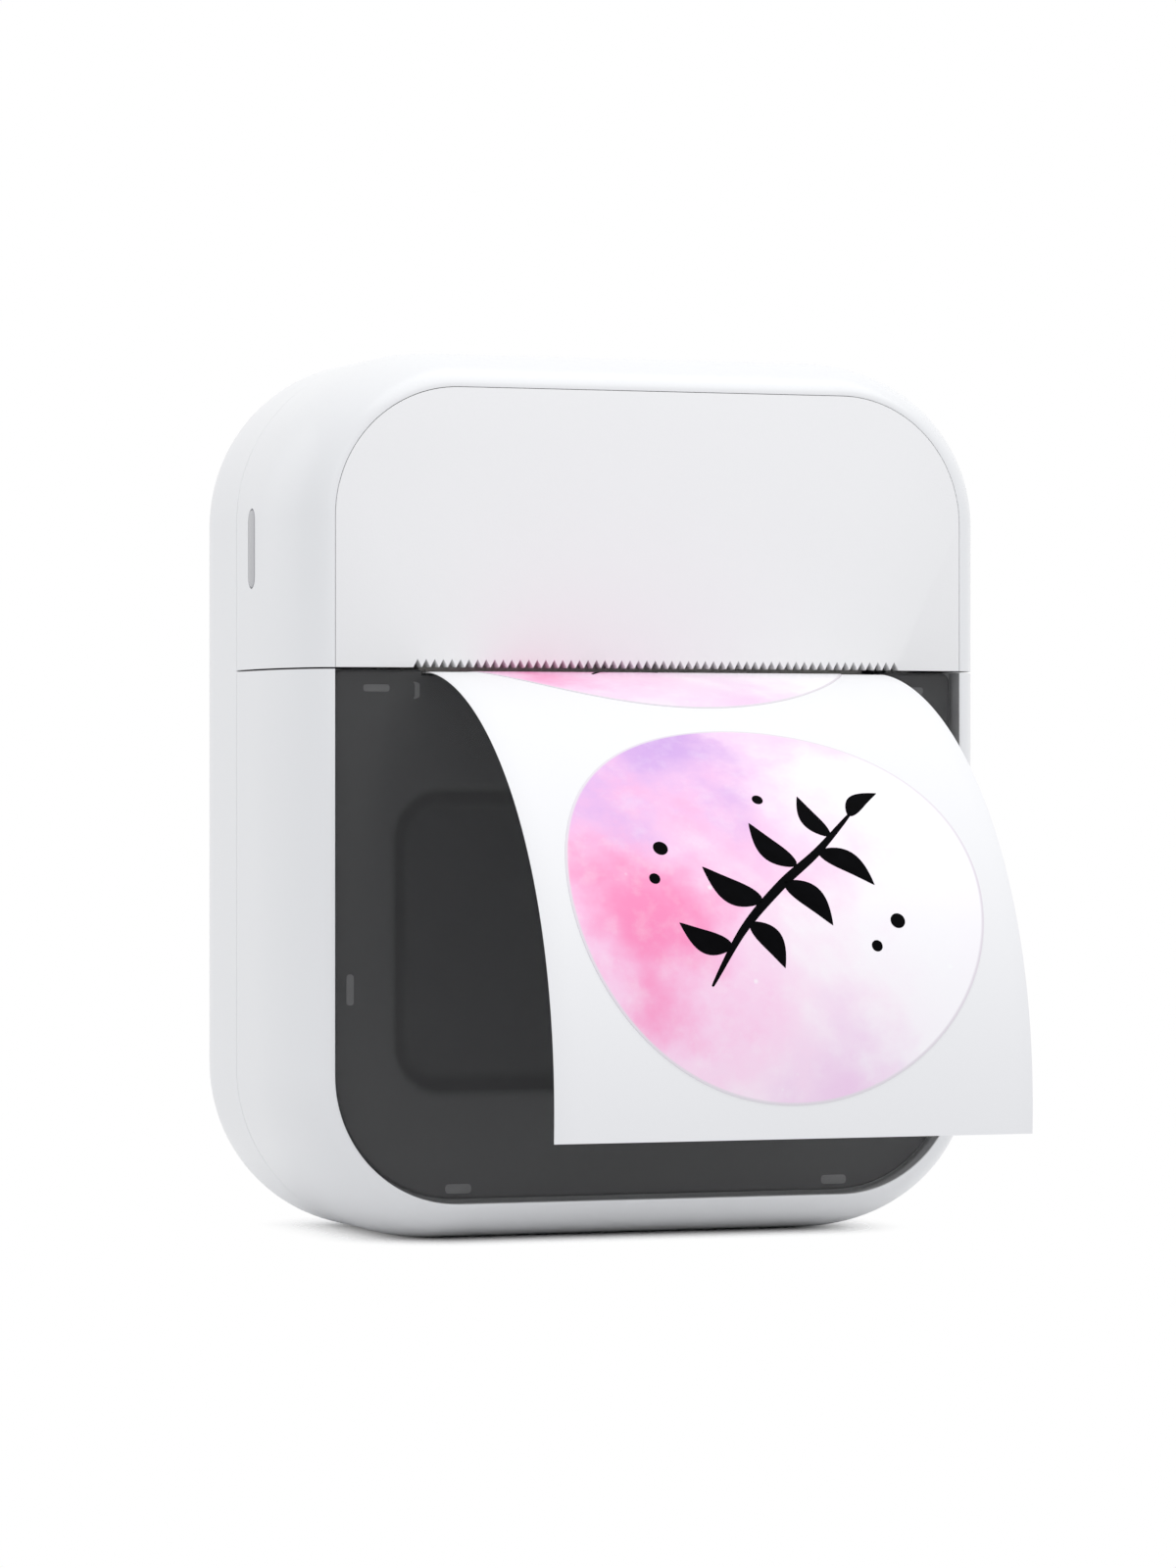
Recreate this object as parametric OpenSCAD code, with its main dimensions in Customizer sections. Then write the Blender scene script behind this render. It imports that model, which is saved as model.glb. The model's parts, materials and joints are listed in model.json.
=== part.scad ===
// Pocket thermal label printer: a rounded upright box with a drop-in paper bay behind a smoked door.
// +X is to the right of someone facing the front, the front faces -Y, +Z is up, and the origin is
// on the flat underside at mid depth. Depths (d) are counted from the front plane towards the back.

/* [Body] */
// Width of the body
body_w = 88; // [86:0.5:96]
// Height of the body
body_h = 104.6; // [103:0.2:115]
// Depth of the body
body_d = 41; // [41:0.5:46]
// Corner radius of the body, seen from the front
corner_r = 20; // [18:0.5:22]
// Width of the rounded rim around the front panels
rim = 4.9; // [4:0.1:5.5]
// Depth over which the front edge rounds
front_round = 16.4; // [14:0.2:17]
// Depth over which the back edge rounds
back_round = 7.4; // [6:0.1:9]
// Thickness of the casing walls
wall = 1.8; // [1.5:0.1:2]
// Depth of the plane where the front parts meet the rear shell
split_d = 23.6; // [23:0.1:25]
// Height of the upper cover, from the line where it meets the door to the top
cover_h = 37.6; // [36:0.2:38.4]
// Gap at both parting lines
split_gap = 0.2; // [0.15:0.05:0.4]

/* [Front panels] */
// Thickness of the front panels
panel_t = 1.8; // [1.4:0.1:1.8]
// Gap around the front panels
panel_gap = 0.12; // [0.1:0.02:0.3]
// Thickness of the liner behind the smoked panel
liner_t = 1.2; // [1:0.1:1.2]
// Width of the ledge that carries the liner
ledge_w = 1.5; // [1:0.1:2]
// Distance from the side of the smoked panel to the recess in the liner
recess_side = 8.6; // [6:0.1:12]
// Distance from the parting line down to the recess's upper edge
recess_drop = 14.9; // [13:0.1:25]
// Height of the recess's lower edge above the base
recess_z = 18.5; // [16:0.5:22]
// Depth of the recess in the liner
recess_t = 1.8; // [1:0.1:1.8]
// How far the tear edge runs past the paper at each end
slot_room = 1.95; // [1:0.05:2]
// Pitch of the teeth
tooth_pitch = 1.05; // [0.8:0.05:1.1]
// Height of the teeth
tooth_h = 1; // [0.6:0.1:1.5]
// Depth of the recess in the top edge of the smoked panel
slot_cut = 0.7; // [0.6:0.1:1.5]

/* [Paper] */
// Room on each side between the paper and the outside of the body
paper_room = 15.5; // [15.5:0.5:20]
// Sideways offset of the paper from the middle of the body
paper_x = 0.75; // [0:0.05:1]
// Thickness of the label stock
stock_t = 0.15; // [0.1:0.01:0.2]
// Thickness of a label
label_t = 0.08; // [0.05:0.01:0.1]
// Bare stock beside a label on each side
label_edge = 3.8; // [1:0.1:10]
// Distance along the strip between label centres
label_pitch = 55; // [50:0.5:60]
// Distance along the strip from the slot to the middle of the printed label
label_at = 46.25; // [44:0.25:48]
// Room between the front plane and the paper roll
roll_front = 5.5; // [5.5:0.1:6.5]
// Room between the paper roll and the back wall
roll_back = 3.7; // [3.7:0.1:5]
// Outer radius of the cardboard core
core_r = 6.35; // [5:0.05:8]
// Wall of the cardboard core
core_t = 1.1; // [0.8:0.1:1.5]
// Height of the roll's axis
roll_z = 25; // [24.5:0.5:26]
// How far the printed strip reaches forward of the front plane
strip_reach = 42.9; // [30:0.5:50]
// Height of the strip's lower end
strip_end_z = 14.4; // [10:0.2:30]
// How far below the parting line's middle the paper leaves the slot
paper_drop = 0.45; // [0.4:0.01:0.5]

/* [Feed] */
// Radius of the platen roller
platen_r = 4.5; // [4:0.1:4.5]
// Depth of the platen's axis
platen_d = 8.5; // [8.5:0.1:9]
// Radius of the platen's shaft
shaft_r = 1.5; // [1:0.1:1.8]
// Running clearance of shafts in their bores
run_gap = 0.05; // [0.03:0.01:0.08]
// Clearance between paper and what it runs past
nip_gap = 0.05; // [0.04:0.01:0.08]
// Module of the gears
gear_m = 0.6; // [0.5:0.05:0.6]
// Face width of the gears
gear_w = 3; // [2:0.1:3]
// Teeth on the platen gear
platen_teeth = 18; // [18:1:20]
// Teeth on the idler gear
idler_teeth = 24; // [22:1:26]
// Teeth on the motor pinion
pinion_teeth = 14; // [14:1:16]
// Play between meshing teeth
backlash = 0.12; // [0.1:0.01:0.15]
// Direction from the platen's axis to the idler's, in degrees above level
idler_angle = 14; // [12:1:20]
// Direction from the idler's axis to the motor's, in degrees above level
motor_angle = -45; // [-47:1:-43]
// Radius of the motor's can
motor_r = 5.5; // [4.5:0.1:5.5]
// Length of the motor's can
motor_l = 18; // [12:0.5:22]
// Room around the gears and the motor
feed_room = 0.3; // [0.2:0.05:0.4]

/* [Print head] */
// How far the print head ends inside the paper's edge on each side
head_inset = 0.5; // [0.5:0.1:3]
// Depth of the heat sink, front to back
head_len = 11.5; // [10:0.5:12]
// Thickness of the heat sink
head_t = 1.8; // [1.5:0.1:2.2]
// Thickness of the ceramic strip
ceramic_t = 0.8; // [0.6:0.1:1]
// Depth of the head's pivot
pivot_d = 19.5; // [19:0.1:20]
// Height of the head's pivot above its heat sink's underside
pivot_rise = 3.4; // [3:0.1:3.6]
// Radius of the head's pivot pin
pivot_r = 1; // [0.8:0.1:1.2]
// Radius of the head's springs
spring_r = 2; // [1.5:0.1:2.4]
// Free height between the heat sink and its bracket
spring_h = 5.6; // [5:0.1:7]
// Distance from the head's end to its spring
spring_in = 12; // [6:0.5:20]
// Width of the head's flat cable
cable_w = 22; // [12:0.5:26]

/* [Frame] */
// Clear width between the paper and the chassis side plates, each side
side_gap = 1.1; // [0.8:0.1:1.2]
// Thickness of the chassis side plates
plate_t = 1.2; // [1:0.1:1.3]
// Thickness of the paper bay's floor
bay_t = 1.4; // [1.2:0.1:2]
// Clearance around the paper roll in its bay
bay_gap = 0.5; // [0.4:0.1:1]
// Radius of the case screws' shanks
screw_r = 1.1; // [0.9:0.1:1.3]
// Half distance between the case screws, sideways
screw_x = 22; // [18:0.5:24]
// Heights of the lower case screws above the base
screw_low = 14; // [12:0.5:16]
// Distance of the upper case screws below the parting line
screw_drop = 20.6; // [20.6:0.1:24]

/* [Hinge] */
// Radius of the hinge knuckles
knuckle_r = 1.2; // [1.1:0.05:1.4]
// Radius of the hinge pin
hinge_pin_r = 0.5; // [0.4:0.05:0.6]
// Length of one knuckle
knuckle_l = 8; // [6:0.5:8]
// Gap between knuckles
knuckle_gap = 0.3; // [0.2:0.05:0.5]
// Radial room that each knuckle is given in the opposite shell
knuckle_room = 0.25; // [0.2:0.05:0.4]

/* [Power button] */
// Depth of the button's middle
button_d = 17.5; // [16:0.1:19]
// Distance of the button's middle below the top of the body
button_drop = 23.3; // [22.6:0.1:26]
// Width of the button, front to back
button_w = 2.6; // [2:0.1:4]
// Height of the button
button_h = 9.2; // [6:0.1:12]
// How far the button can be pressed
button_travel = 0.6; // [0.3:0.1:0.8]

/* [Electronics] */
// Distance from the side of the front panels to the circuit board
pcb_side = 8.1; // [7.5:0.1:14]
// Height of the circuit board
pcb_h = 30; // [24:1:30]
// Height of the board's lower edge above the parting line
pcb_rise = 1; // [-1:0.5:3]
// Thickness of the circuit boards
pcb_t = 1.2; // [0.8:0.1:1.6]
// Distance from the side of the front panels to the battery
battery_side = 14.1; // [12.1:0.1:20]
// Height of the battery
battery_h = 18; // [14:0.5:18]
// Thickness of the battery
battery_t = 6; // [4:0.5:6.5]
// Side of the largest chip on the main board
chip_w = 10; // [6:0.5:12]
// Height of the tallest chip
chip_t = 1.4; // [0.8:0.1:2]
// Radius of the board screws' shanks
small_screw_r = 0.9; // [0.7:0.05:1]
// Height of the charging socket's mouth
usb_h = 9; // [8.4:0.1:9.4]
// Width of the charging socket's mouth, front to back
usb_w = 3.2; // [3:0.1:3.4]

/* [Hidden] */
$fn = 48;

far = 300;                              // longer than anything on the printer
cut = 1;                                // how far a cutter runs past a face
panel_w = body_w - 2*rim;
panel_h = body_h - 2*rim;
panel_r = corner_r - rim;
split_z = body_h - cover_h;
flat_x = body_w/2 - corner_r;           // half width of the straight top and bottom
flat_z = [corner_r, body_h - corner_r]; // lower and upper ends of the straight sides
front_z0 = split_z + split_gap/2;       // lowest point of the upper cover
door_z1 = split_z - split_gap/2;        // highest point of the door
front_back = split_d - split_gap/4;     // where the front parts end
rear_front = split_d + split_gap*3/4;   // where the rear shell starts
inner_back = body_d - wall;             // inner face of the back wall
paper_w = body_w - 2*paper_room;
label_dia = paper_w - 2*label_edge;
head_w = paper_w - 2*head_inset;
teeth = round((paper_w + 2*slot_room)/tooth_pitch);
slot_x0 = paper_x - teeth*tooth_pitch/2;
slot_x1 = paper_x + teeth*tooth_pitch/2;
exit_x = paper_w/2 + 0.4;               // half width of the door's notch under the paper
liner_d = panel_t + 0.1;                // front face of the liner
ledge_d = liner_d + liner_t + 0.1;      // front face of the ledge behind it

recess_w = panel_w - 2*recess_side;
recess_h = split_z - recess_drop - recess_z;
roll_r = (inner_back - roll_back - roll_front)/2;
roll_d = roll_front + roll_r;
paper_z = split_z - paper_drop;
platen_z = paper_z - stock_t/2 - nip_gap - platen_r;
head_z = paper_z + stock_t/2 + label_t + nip_gap;       // underside of the ceramic strip
sink_z = head_z + ceramic_t;                            // underside of the heat sink
pivot_z = sink_z + pivot_rise;
sink_d0 = 5;                                            // front edge of the heat sink
bracket_z = sink_z + head_t + spring_h;                 // underside of the spring bracket
plate_x = paper_w/2 + side_gap;                         // inner face of a side plate, from paper_x
gear_x0 = paper_x + plate_x + plate_t + 0.45;
gear_x1 = gear_x0 + gear_w;
cheek_x = gear_x1 + 0.35;                               // inner face of the door's cheeks
cheek_t = 1.4;

function pitch_r(n) = gear_m*n/2;
function tip_r(n) = pitch_r(n) + 0.85*gear_m;
idler_gap = pitch_r(platen_teeth) + pitch_r(idler_teeth);
motor_gap = pitch_r(idler_teeth) + pitch_r(pinion_teeth);
idler_d = platen_d + idler_gap*cos(idler_angle);
idler_z = platen_z + idler_gap*sin(idler_angle);
motor_d = idler_d + motor_gap*cos(motor_angle);
motor_z = idler_z + motor_gap*sin(motor_angle);
idler_phase = idler_angle + 180 + 180/idler_teeth;
mesh_step = (motor_angle - idler_phase)*idler_teeth/360;
pinion_phase = motor_angle + 180 + (mesh_step - floor(mesh_step))*360/pinion_teeth
    + 180/pinion_teeth;
idler_bore = 1;                                         // radius of the idler's axle

// Straight run of the web from the roll to the platen, tangent to both.
web_roll_r = roll_r + nip_gap + stock_t/2;
web_platen_r = platen_r + nip_gap + stock_t/2;
run_vec = [platen_d - roll_d, platen_z - roll_z];
run_turn = atan2(run_vec[1], run_vec[0]) - 90 + asin((web_roll_r - web_platen_r)/norm(run_vec));
run_n = [cos(run_turn), sin(run_turn)];
run_low = [roll_d, roll_z] + web_roll_r*run_n;
run_high = [platen_d, platen_z] + web_platen_r*run_n;
function run_at(z) = run_low[0] + (run_high[0] - run_low[0])*(z - run_low[1])/(run_high[1] - run_low[1]);

// Centre line of the printed strip, ahead of the slot: a smooth curve that falls to upright.
strip_c1 = [strip_reach*0.471, paper_z - 1.7];
strip_c2 = [strip_reach*1.041, paper_z*0.694];
strip_end = [strip_reach, strip_end_z];
strip_steps = 40;

// The board pieces sit against the back wall on posts.
pcb_w = panel_w - 2*pcb_side;
pcb_z = split_z + pcb_rise;
post_r = small_screw_r + 1.5;
post_in = post_r + 1.6;                                 // from the board's edges to its posts
board_d = inner_back - 4;
board_x = pcb_w/2 - post_in - 1;
board_low = pcb_z + post_in;
board_high = pcb_z + pcb_h - post_in;
usb_z = pcb_z + 8;
usb_len = 7.4;
screw_high = split_z - screw_drop;
button_z = body_h - button_drop;
battery_w = panel_w - 2*battery_side;
battery_d = ledge_d + 1.2;                              // front face of the battery, behind the ledge
battery_z = bracket_z + 4.8;

hinge_z = knuckle_r + 0.05;
door_side_gap = 1.25;                                   // step under the door's rear edge

/* ---- shapes ---- */

module placed() { translate([0, -body_d/2, 0]) children(); }
// Extrudes a profile drawn in depth and height along X, from x0 to x1.
module along_x(x0, x1) { translate([x0, 0, 0]) rotate([90, 0, 90]) linear_extrude(x1 - x0) children(); }
// Extrudes a profile drawn in width and height along the depth, from d0 to d1.
module along_d(d0, d1) { translate([0, d1, 0]) rotate([90, 0, 0]) linear_extrude(d1 - d0) children(); }
module rod_x(x0, x1, r, d, z) { translate([x0, d, z]) rotate([0, 90, 0]) cylinder(h = x1 - x0, r = r); }
module rod_d(d0, d1, r, x, z) { translate([x, d0, z]) rotate([-90, 0, 0]) cylinder(h = d1 - d0, r = r); }
module block(x0, x1, d0, d1, z0, z1) { translate([x0, d0, z0]) cube([x1 - x0, d1 - d0, z1 - z0]); }
module both_sides() { children(); mirror([1, 0, 0]) children(); }

function arc(c, r, a0, a1, n = 16) = [for (i = [0:n]) let(a = a0 + (a1 - a0)*i/n)
    [c[0] + r*cos(a), c[1] + r*sin(a)]];
// A rounded rectangle on the middle of the front, w wide and h tall, centred on the body.
function rounded(w, h, r) = let(x = w/2 - r, lo = body_h/2 - h/2 + r, hi = body_h/2 + h/2 - r)
    concat(arc([x, lo], r, -90, 0), arc([x, hi], r, 0, 90),
        arc([-x, hi], r, 90, 180), arc([-x, lo], r, 180, 270));
// The front panels' common outline, drawn in by inset, as a solid between depths d0 and d1.
module slab(inset, d0, d1) {
    side = panel_r - inset;
    block(-flat_x - side, flat_x + side, d0, d1, flat_z[0], flat_z[1]);
    block(-flat_x, flat_x, d0, d1, flat_z[0] - side, flat_z[1] + side);
    corners() polygon([[0, d0], [side, d0], [side, d1], [0, d1]]);
}
// Turns a profile of radius and depth a quarter round each corner of the body.
module corners() {
    for (corner = [[1, 0, 0], [-1, 0, 90], [-1, 1, 180], [1, 1, 270]])
        translate([corner[0]*flat_x, 0, flat_z[corner[1]]]) rotate([-90, 0, 0])
            rotate([0, 0, corner[2]]) rotate_extrude(angle = 90) children();
}
module pill(w, h) {
    polygon(concat(arc([0, h/2 - w/2], w/2, 0, 180, 12), arc([0, w/2 - h/2], w/2, 180, 360, 12)));
}

// How far the casing, thinned by t all round, reaches out past the panel's outline at depth d.
function reach_out(d, t) =
    d < front_round ? (rim - t)*sqrt(max(0, 1 - pow((front_round - d)/(front_round - t), 2))) :
    d > body_d - back_round ?
        (rim - t)*sqrt(max(0, 1 - pow((d - body_d + back_round)/(back_round - t), 2))) :
    rim - t;
function depths(t, d0, d1) = let(
    front = [for (i = [1:11]) front_round - (front_round - t)*cos(90*i/12)],
    back = [for (i = [1:8]) body_d - back_round + (back_round - t)*sin(90*i/9)])
    concat([d0], [for (d = concat(front, [front_round, body_d - back_round], back))
        if (d > d0 + 0.05 && d < d1 - 0.05) d], [d1]);
// The casing as a solid between depths d0 and d1, thinned by t all round.
module casing(t, d0, d1) {
    side = [for (d = depths(t, d0, d1)) [reach_out(d, t), d]];
    wide = panel_w/2;
    translate([0, 0, flat_z[0]]) linear_extrude(flat_z[1] - flat_z[0])
        polygon(concat([for (p = side) [wide + p[0], p[1]]],
            [for (i = [len(side) - 1:-1:0]) [-wide - side[i][0], side[i][1]]]));
    along_x(-flat_x, flat_x)
        polygon(concat([for (p = side) [p[1], body_h/2 + panel_h/2 + p[0]]],
            [for (i = [len(side) - 1:-1:0]) [side[i][1], body_h/2 - panel_h/2 - side[i][0]]]));
    corners() polygon(concat([[0, d0]], [for (p = side) [panel_r + p[0], p[1]]], [[0, d1]]));
}

// A profile of [reach past the panel's outline, depth], carried all round the body.
module ring(profile) {
    corners() polygon([for (p = profile) [panel_r + p[0], p[1]]]);
    for (side = [-1, 1]) {
        translate([0, 0, flat_z[0]]) linear_extrude(flat_z[1] - flat_z[0])
            polygon([for (p = profile) [side*(panel_w/2 + p[0]), p[1]]]);
        along_x(-flat_x, flat_x)
            polygon([for (p = profile) [p[1], body_h/2 + side*(panel_h/2 + p[0])]]);
    }
}
// Wall of a front frame, with a ledge behind its window between depths l0 and l1.
function frame_profile(l0, l1) = let(
    lip_d = front_round*(1 - sqrt(1 - pow(panel_gap/rim, 2))),
    outer = [for (d = depths(0, lip_d, front_back)) [d == lip_d ? panel_gap : reach_out(d, 0), d]],
    inner = [for (d = depths(wall, l1, front_back)) [reach_out(d, wall), d]])
    concat(outer, [for (i = [len(inner) - 1:-1:0]) inner[i]],
        [[-ledge_w, l1], [-ledge_w, l0], [panel_gap, l0]]);

// An involute gear between x0 and x1, with a tooth centred on the direction phase.
function involute(base, t) = let(a = t*180/PI) [base*(cos(a) + t*sin(a)), base*(sin(a) - t*cos(a))];
function turn(p, a) = [p[0]*cos(a) - p[1]*sin(a), p[0]*sin(a) + p[1]*cos(a)];
function flank(n) = let(rp = pitch_r(n), base = rp*cos(20), tip = tip_r(n),
    root = rp - 1.2*gear_m, roll_p = sqrt(pow(rp/base, 2) - 1), roll_t = sqrt(pow(tip/base, 2) - 1),
    at_pitch = roll_p*180/PI - 20, half = (PI*gear_m/2 - backlash)/2/rp*180/PI,
    steps = 5, first = involute(base, 0))
    concat([turn([root, 0], -half - at_pitch)],
        [for (i = [0:steps]) turn(involute(base, roll_t*i/steps), -half - at_pitch)]);
module gear(n, x0, x1, d, z, phase) {
    side = flank(n);
    other = [for (i = [len(side) - 1:-1:0]) [side[i][0], -side[i][1]]];
    translate([0, d, z]) along_x(x0, x1)
        polygon([for (k = [0:n - 1], p = concat(side, other)) turn(p, phase + k*360/n)]);
}

function bezier(u) = let(a = [0, paper_z], v = 1 - u)
    v*v*v*a + 3*v*v*u*strip_c1 + 3*v*u*u*strip_c2 + u*u*u*strip_end;
// The strip's centre line from the nip: level to the slot, then the curve. First value is forward.
strip_line = concat([[-platen_d, paper_z]], [for (i = [0:strip_steps]) bezier(i/strip_steps)]);
function line_normal(p, i) = let(a = p[max(0, i - 1)], b = p[min(len(p) - 1, i + 1)], v = b - a)
    [-v[1], v[0]]/norm(v);
function line_offset(p, h) = [for (i = [0:len(p) - 1]) p[i] + h*line_normal(p, i)];
function run_lengths(p, i = 0, s = 0) = i >= len(p) - 1 ? [s] :
    concat([s], run_lengths(p, i + 1, s + norm(p[i + 1] - p[i])));
strip_s = [for (s = run_lengths(strip_line)) s - platen_d];     // counted from the slot
function strip_at(s, h) = let(side = line_offset(strip_line, h)) [for (k = [0, 1])
    lookup(s, [for (i = [0:len(side) - 1]) [strip_s[i], side[i][k]]])];

function sorted(v) = len(v) < 2 ? v : let(p = v[floor(len(v)/2)])
    concat(sorted([for (x = v) if (x < p) x]), [p], sorted([for (x = v) if (x > p) x]));

// A round label that lies on the strip, its middle at arc length s_mid, trimmed at s_min.
module label(s_mid, s_min) {
    r = label_dia/2;
    base = stock_t/2;
    start = max(s_min, s_mid - r);
    bends = [for (s = strip_s) if (s > start + 0.1 && s < s_mid + r - 0.1) s];
    round_rows = [for (a = [0:7.5:180]) let(s = s_mid - r*cos(a))
        if (s > start + 0.1 && min([for (b = bends) abs(b - s)]) > 0.05) s];
    rows = [for (s = sorted(concat([start], bends, round_rows)))
        [s, sqrt(max(0, r*r - pow(s - s_mid, 2))) + 0.01]];
    n = len(rows) - 1;
    points = [for (q = rows, h = [base, base + label_t], side = [-1, 1])
        let(p = strip_at(q[0], h)) [paper_x + side*q[1], -p[0], p[1]]];
    ring = [0, 1, 3, 2];
    polyhedron(points = points, faces = concat(
        [ring], [[for (k = [3:-1:0]) n*4 + ring[k]]],
        [for (i = [0:n - 1], k = [0:3]) let(a = ring[k], b = ring[(k + 1)%4])
            each [[i*4 + b, i*4 + a, (i + 1)*4 + a], [i*4 + b, (i + 1)*4 + a, (i + 1)*4 + b]]]));
}

/* ---- casing ---- */

knuckle_step = knuckle_l + knuckle_gap;
hinge_half = 2.5*knuckle_l + 2*knuckle_gap;
rear_knuckles = [-2*knuckle_step, 0, 2*knuckle_step];
door_knuckles = [-knuckle_step, knuckle_step];
module knuckle(x, away) {
    rod_x(x - knuckle_l/2, x + knuckle_l/2, knuckle_r, split_d, hinge_z);
    block(x - knuckle_l/2, x + knuckle_l/2, min(split_d, split_d + away), max(split_d, split_d + away),
        hinge_z, hinge_z + knuckle_r*0.8);
}
module knuckle_notch(x) {
    room = knuckle_l/2 + knuckle_gap;
    rod_x(x - room, x + room, knuckle_r + knuckle_room, split_d, hinge_z);
}
case_screw_at = [for (x = [-screw_x, screw_x], z = [screw_low, screw_high]) [x, z]];
board_screw_at = [for (x = [-board_x, board_x], z = [board_low, board_high]) [x, z]];

module rear_shell() {
    color("white") placed() difference() {
        union() {
            difference() {
                casing(0, rear_front, body_d);
                casing(wall, rear_front - cut, inner_back);
                for (x = door_knuckles) knuckle_notch(x);
            }
            for (x = rear_knuckles) knuckle(x, 3.4);
            for (p = board_screw_at) rod_d(board_d + pcb_t, inner_back + 0.2, post_r, p[0], p[1]);
        }
        rod_x(-hinge_half, hinge_half, hinge_pin_r, split_d, hinge_z);
        for (p = case_screw_at) {
            rod_d(inner_back - cut, body_d + cut, screw_r + 0.15, p[0], p[1]);
            rod_d(body_d - 1, body_d + cut, screw_r*2.2 + 0.2, p[0], p[1]);
        }
        for (p = board_screw_at) rod_d(board_d, inner_back, small_screw_r, p[0], p[1]);
        translate([0, board_d - usb_w/2, usb_z]) along_x(body_w/2 - 2*wall - rim, body_w/2 + cut)
            pill(usb_w + 0.3, usb_h + 0.3);
    }
}

module upper_frame() {
    lip = 1;
    color("white") placed() difference() {
        union() {
            ring(frame_profile(liner_d, ledge_d));
            slab(ledge_w - 0.6, liner_d + 0.1, ledge_d - 0.1);
            // Tongue that locates the cover in the rear shell.
            difference() {
                union() {
                    casing(wall - 0.2, front_back - 2.4, front_back - 0.2);
                    casing(wall + 0.1, front_back - 0.3, front_back + 1.6);
                }
                casing(wall + 0.1 + lip, front_back - 3, front_back + 2);
            }
            block(4 - battery_w/2, battery_w/2 - 4, ledge_d - 0.2, battery_d, battery_z + 4,
                battery_z + battery_h - 4);
            for (z = [button_z - 7, button_z + 7])
                rod_x(-body_w/2 + wall/2, button_board_x, 1.2, button_d, z);
        }
        block(-far/2, far/2, -cut, body_d, -cut, front_z0);
        translate([-body_w/2 - cut, button_d, button_z]) rotate([90, 0, 90])
            linear_extrude(wall + 2*cut) pill(button_w + 0.3, button_h + 0.3);
        // Room for the button's flange behind the wall.
        translate([-body_w/2 + wall - 0.4, button_d, button_z]) rotate([90, 0, 90])
            linear_extrude(3) pill(button_w + 2.4, button_h + 2.4);
    }
}

module upper_panel() {
    color("white") placed() difference() {
        slab(0, 0, panel_t);
        block(-far/2, far/2, -cut, panel_t + cut, -cut, front_z0);
        along_d(-cut, panel_t + cut) polygon(concat([[slot_x0, front_z0 - cut]],
            [for (i = [0:teeth]) each [[slot_x0 + i*tooth_pitch, front_z0 + 0.02],
                if (i < teeth) [slot_x0 + (i + 0.5)*tooth_pitch, front_z0 + tooth_h]]],
            [[slot_x1, front_z0 - cut]]));
    }
}

module door_frame() {
    color("white") placed() difference() {
        union() {
            difference() {
                ring(frame_profile(ledge_d, ledge_d + 1));
                block(-far/2, far/2, -cut, body_d, door_z1, far);
                block(-flat_x - corner_r*0.4, flat_x + corner_r*0.4, split_d - door_side_gap, body_d,
                    -cut, hinge_z - 0.05);
                for (x = rear_knuckles) knuckle_notch(x);
            }
            for (x = door_knuckles) knuckle(x, -3.4);
        }
        rod_x(-hinge_half, hinge_half, hinge_pin_r + run_gap/2, split_d, hinge_z);
    }
}

module door_panel() {
    color([0.2, 0.2, 0.22]) placed() difference() {
        slab(0, 0, panel_t);
        block(-far/2, far/2, -cut, panel_t + cut, door_z1, far);
        block(paper_x - exit_x, paper_x + exit_x, -cut, panel_t + cut, door_z1 - slot_cut, far);
    }
}

recess_r = 5;
tab_at = [[panel_w/2 - 5.4, split_z - 2.2, 3.2, 1], [panel_w/2 - 2.3, 29.8, 0.9, 3.6],
    [flat_x - 0.4, rim + 1.6, 3.2, 1.2], [paper_w/2 + 0.1, split_z - 2.5, 1.4, 2]];
module tab_squares(grow) {
    for (side = [-1, 1], t = tab_at) translate([side*t[0] - t[2]/2 - grow, t[1] - t[3]/2 - grow])
        square([t[2] + 2*grow, t[3] + 2*grow]);
}
module recess_outline(grow) {
    translate([0, recess_z + recess_h/2 - body_h/2])
        polygon(rounded(recess_w + 2*grow, recess_h + 2*grow, recess_r + grow));
}
module door_liner() {
    back = ledge_d - 0.1;
    edge = 0.4;
    top = door_z1 - slot_cut;               // under the slot; the ears beside it reach higher
    skin = 1.1;
    color([0.25, 0.25, 0.27]) placed() difference() {
        union() {
            difference() {
                slab(edge, liner_d, back);
                block(paper_x - exit_x, paper_x + exit_x, liner_d - cut, back + cut, top, far);
                block(-far/2, far/2, liner_d - cut, back + cut, door_z1 - 0.3, far);
            }
            along_d(back - 0.2, back + recess_t) recess_outline(skin);
            both_sides() difference() {
                block(cheek_x, cheek_x + cheek_t, back - 0.2, platen_d + 4.5, platen_z - 9, top);
                rod_x(cheek_x - cut, cheek_x + cheek_t + cut, bushing_r, platen_d, platen_z);
            }
        }
        along_d(liner_d - cut, back + recess_t - skin) recess_outline(0);
        along_d(liner_d - cut, liner_d + 0.6) tab_squares(0.1);
        rod_x(gear_x0 - feed_room, gear_x1 + feed_room, tip_r(platen_teeth) + feed_room,
            platen_d, platen_z);
    }
}
module snap_tabs() { color([0.7, 0.7, 0.7]) placed() along_d(panel_t, liner_d + 0.55) tab_squares(0); }

/* ---- chassis ---- */

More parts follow.
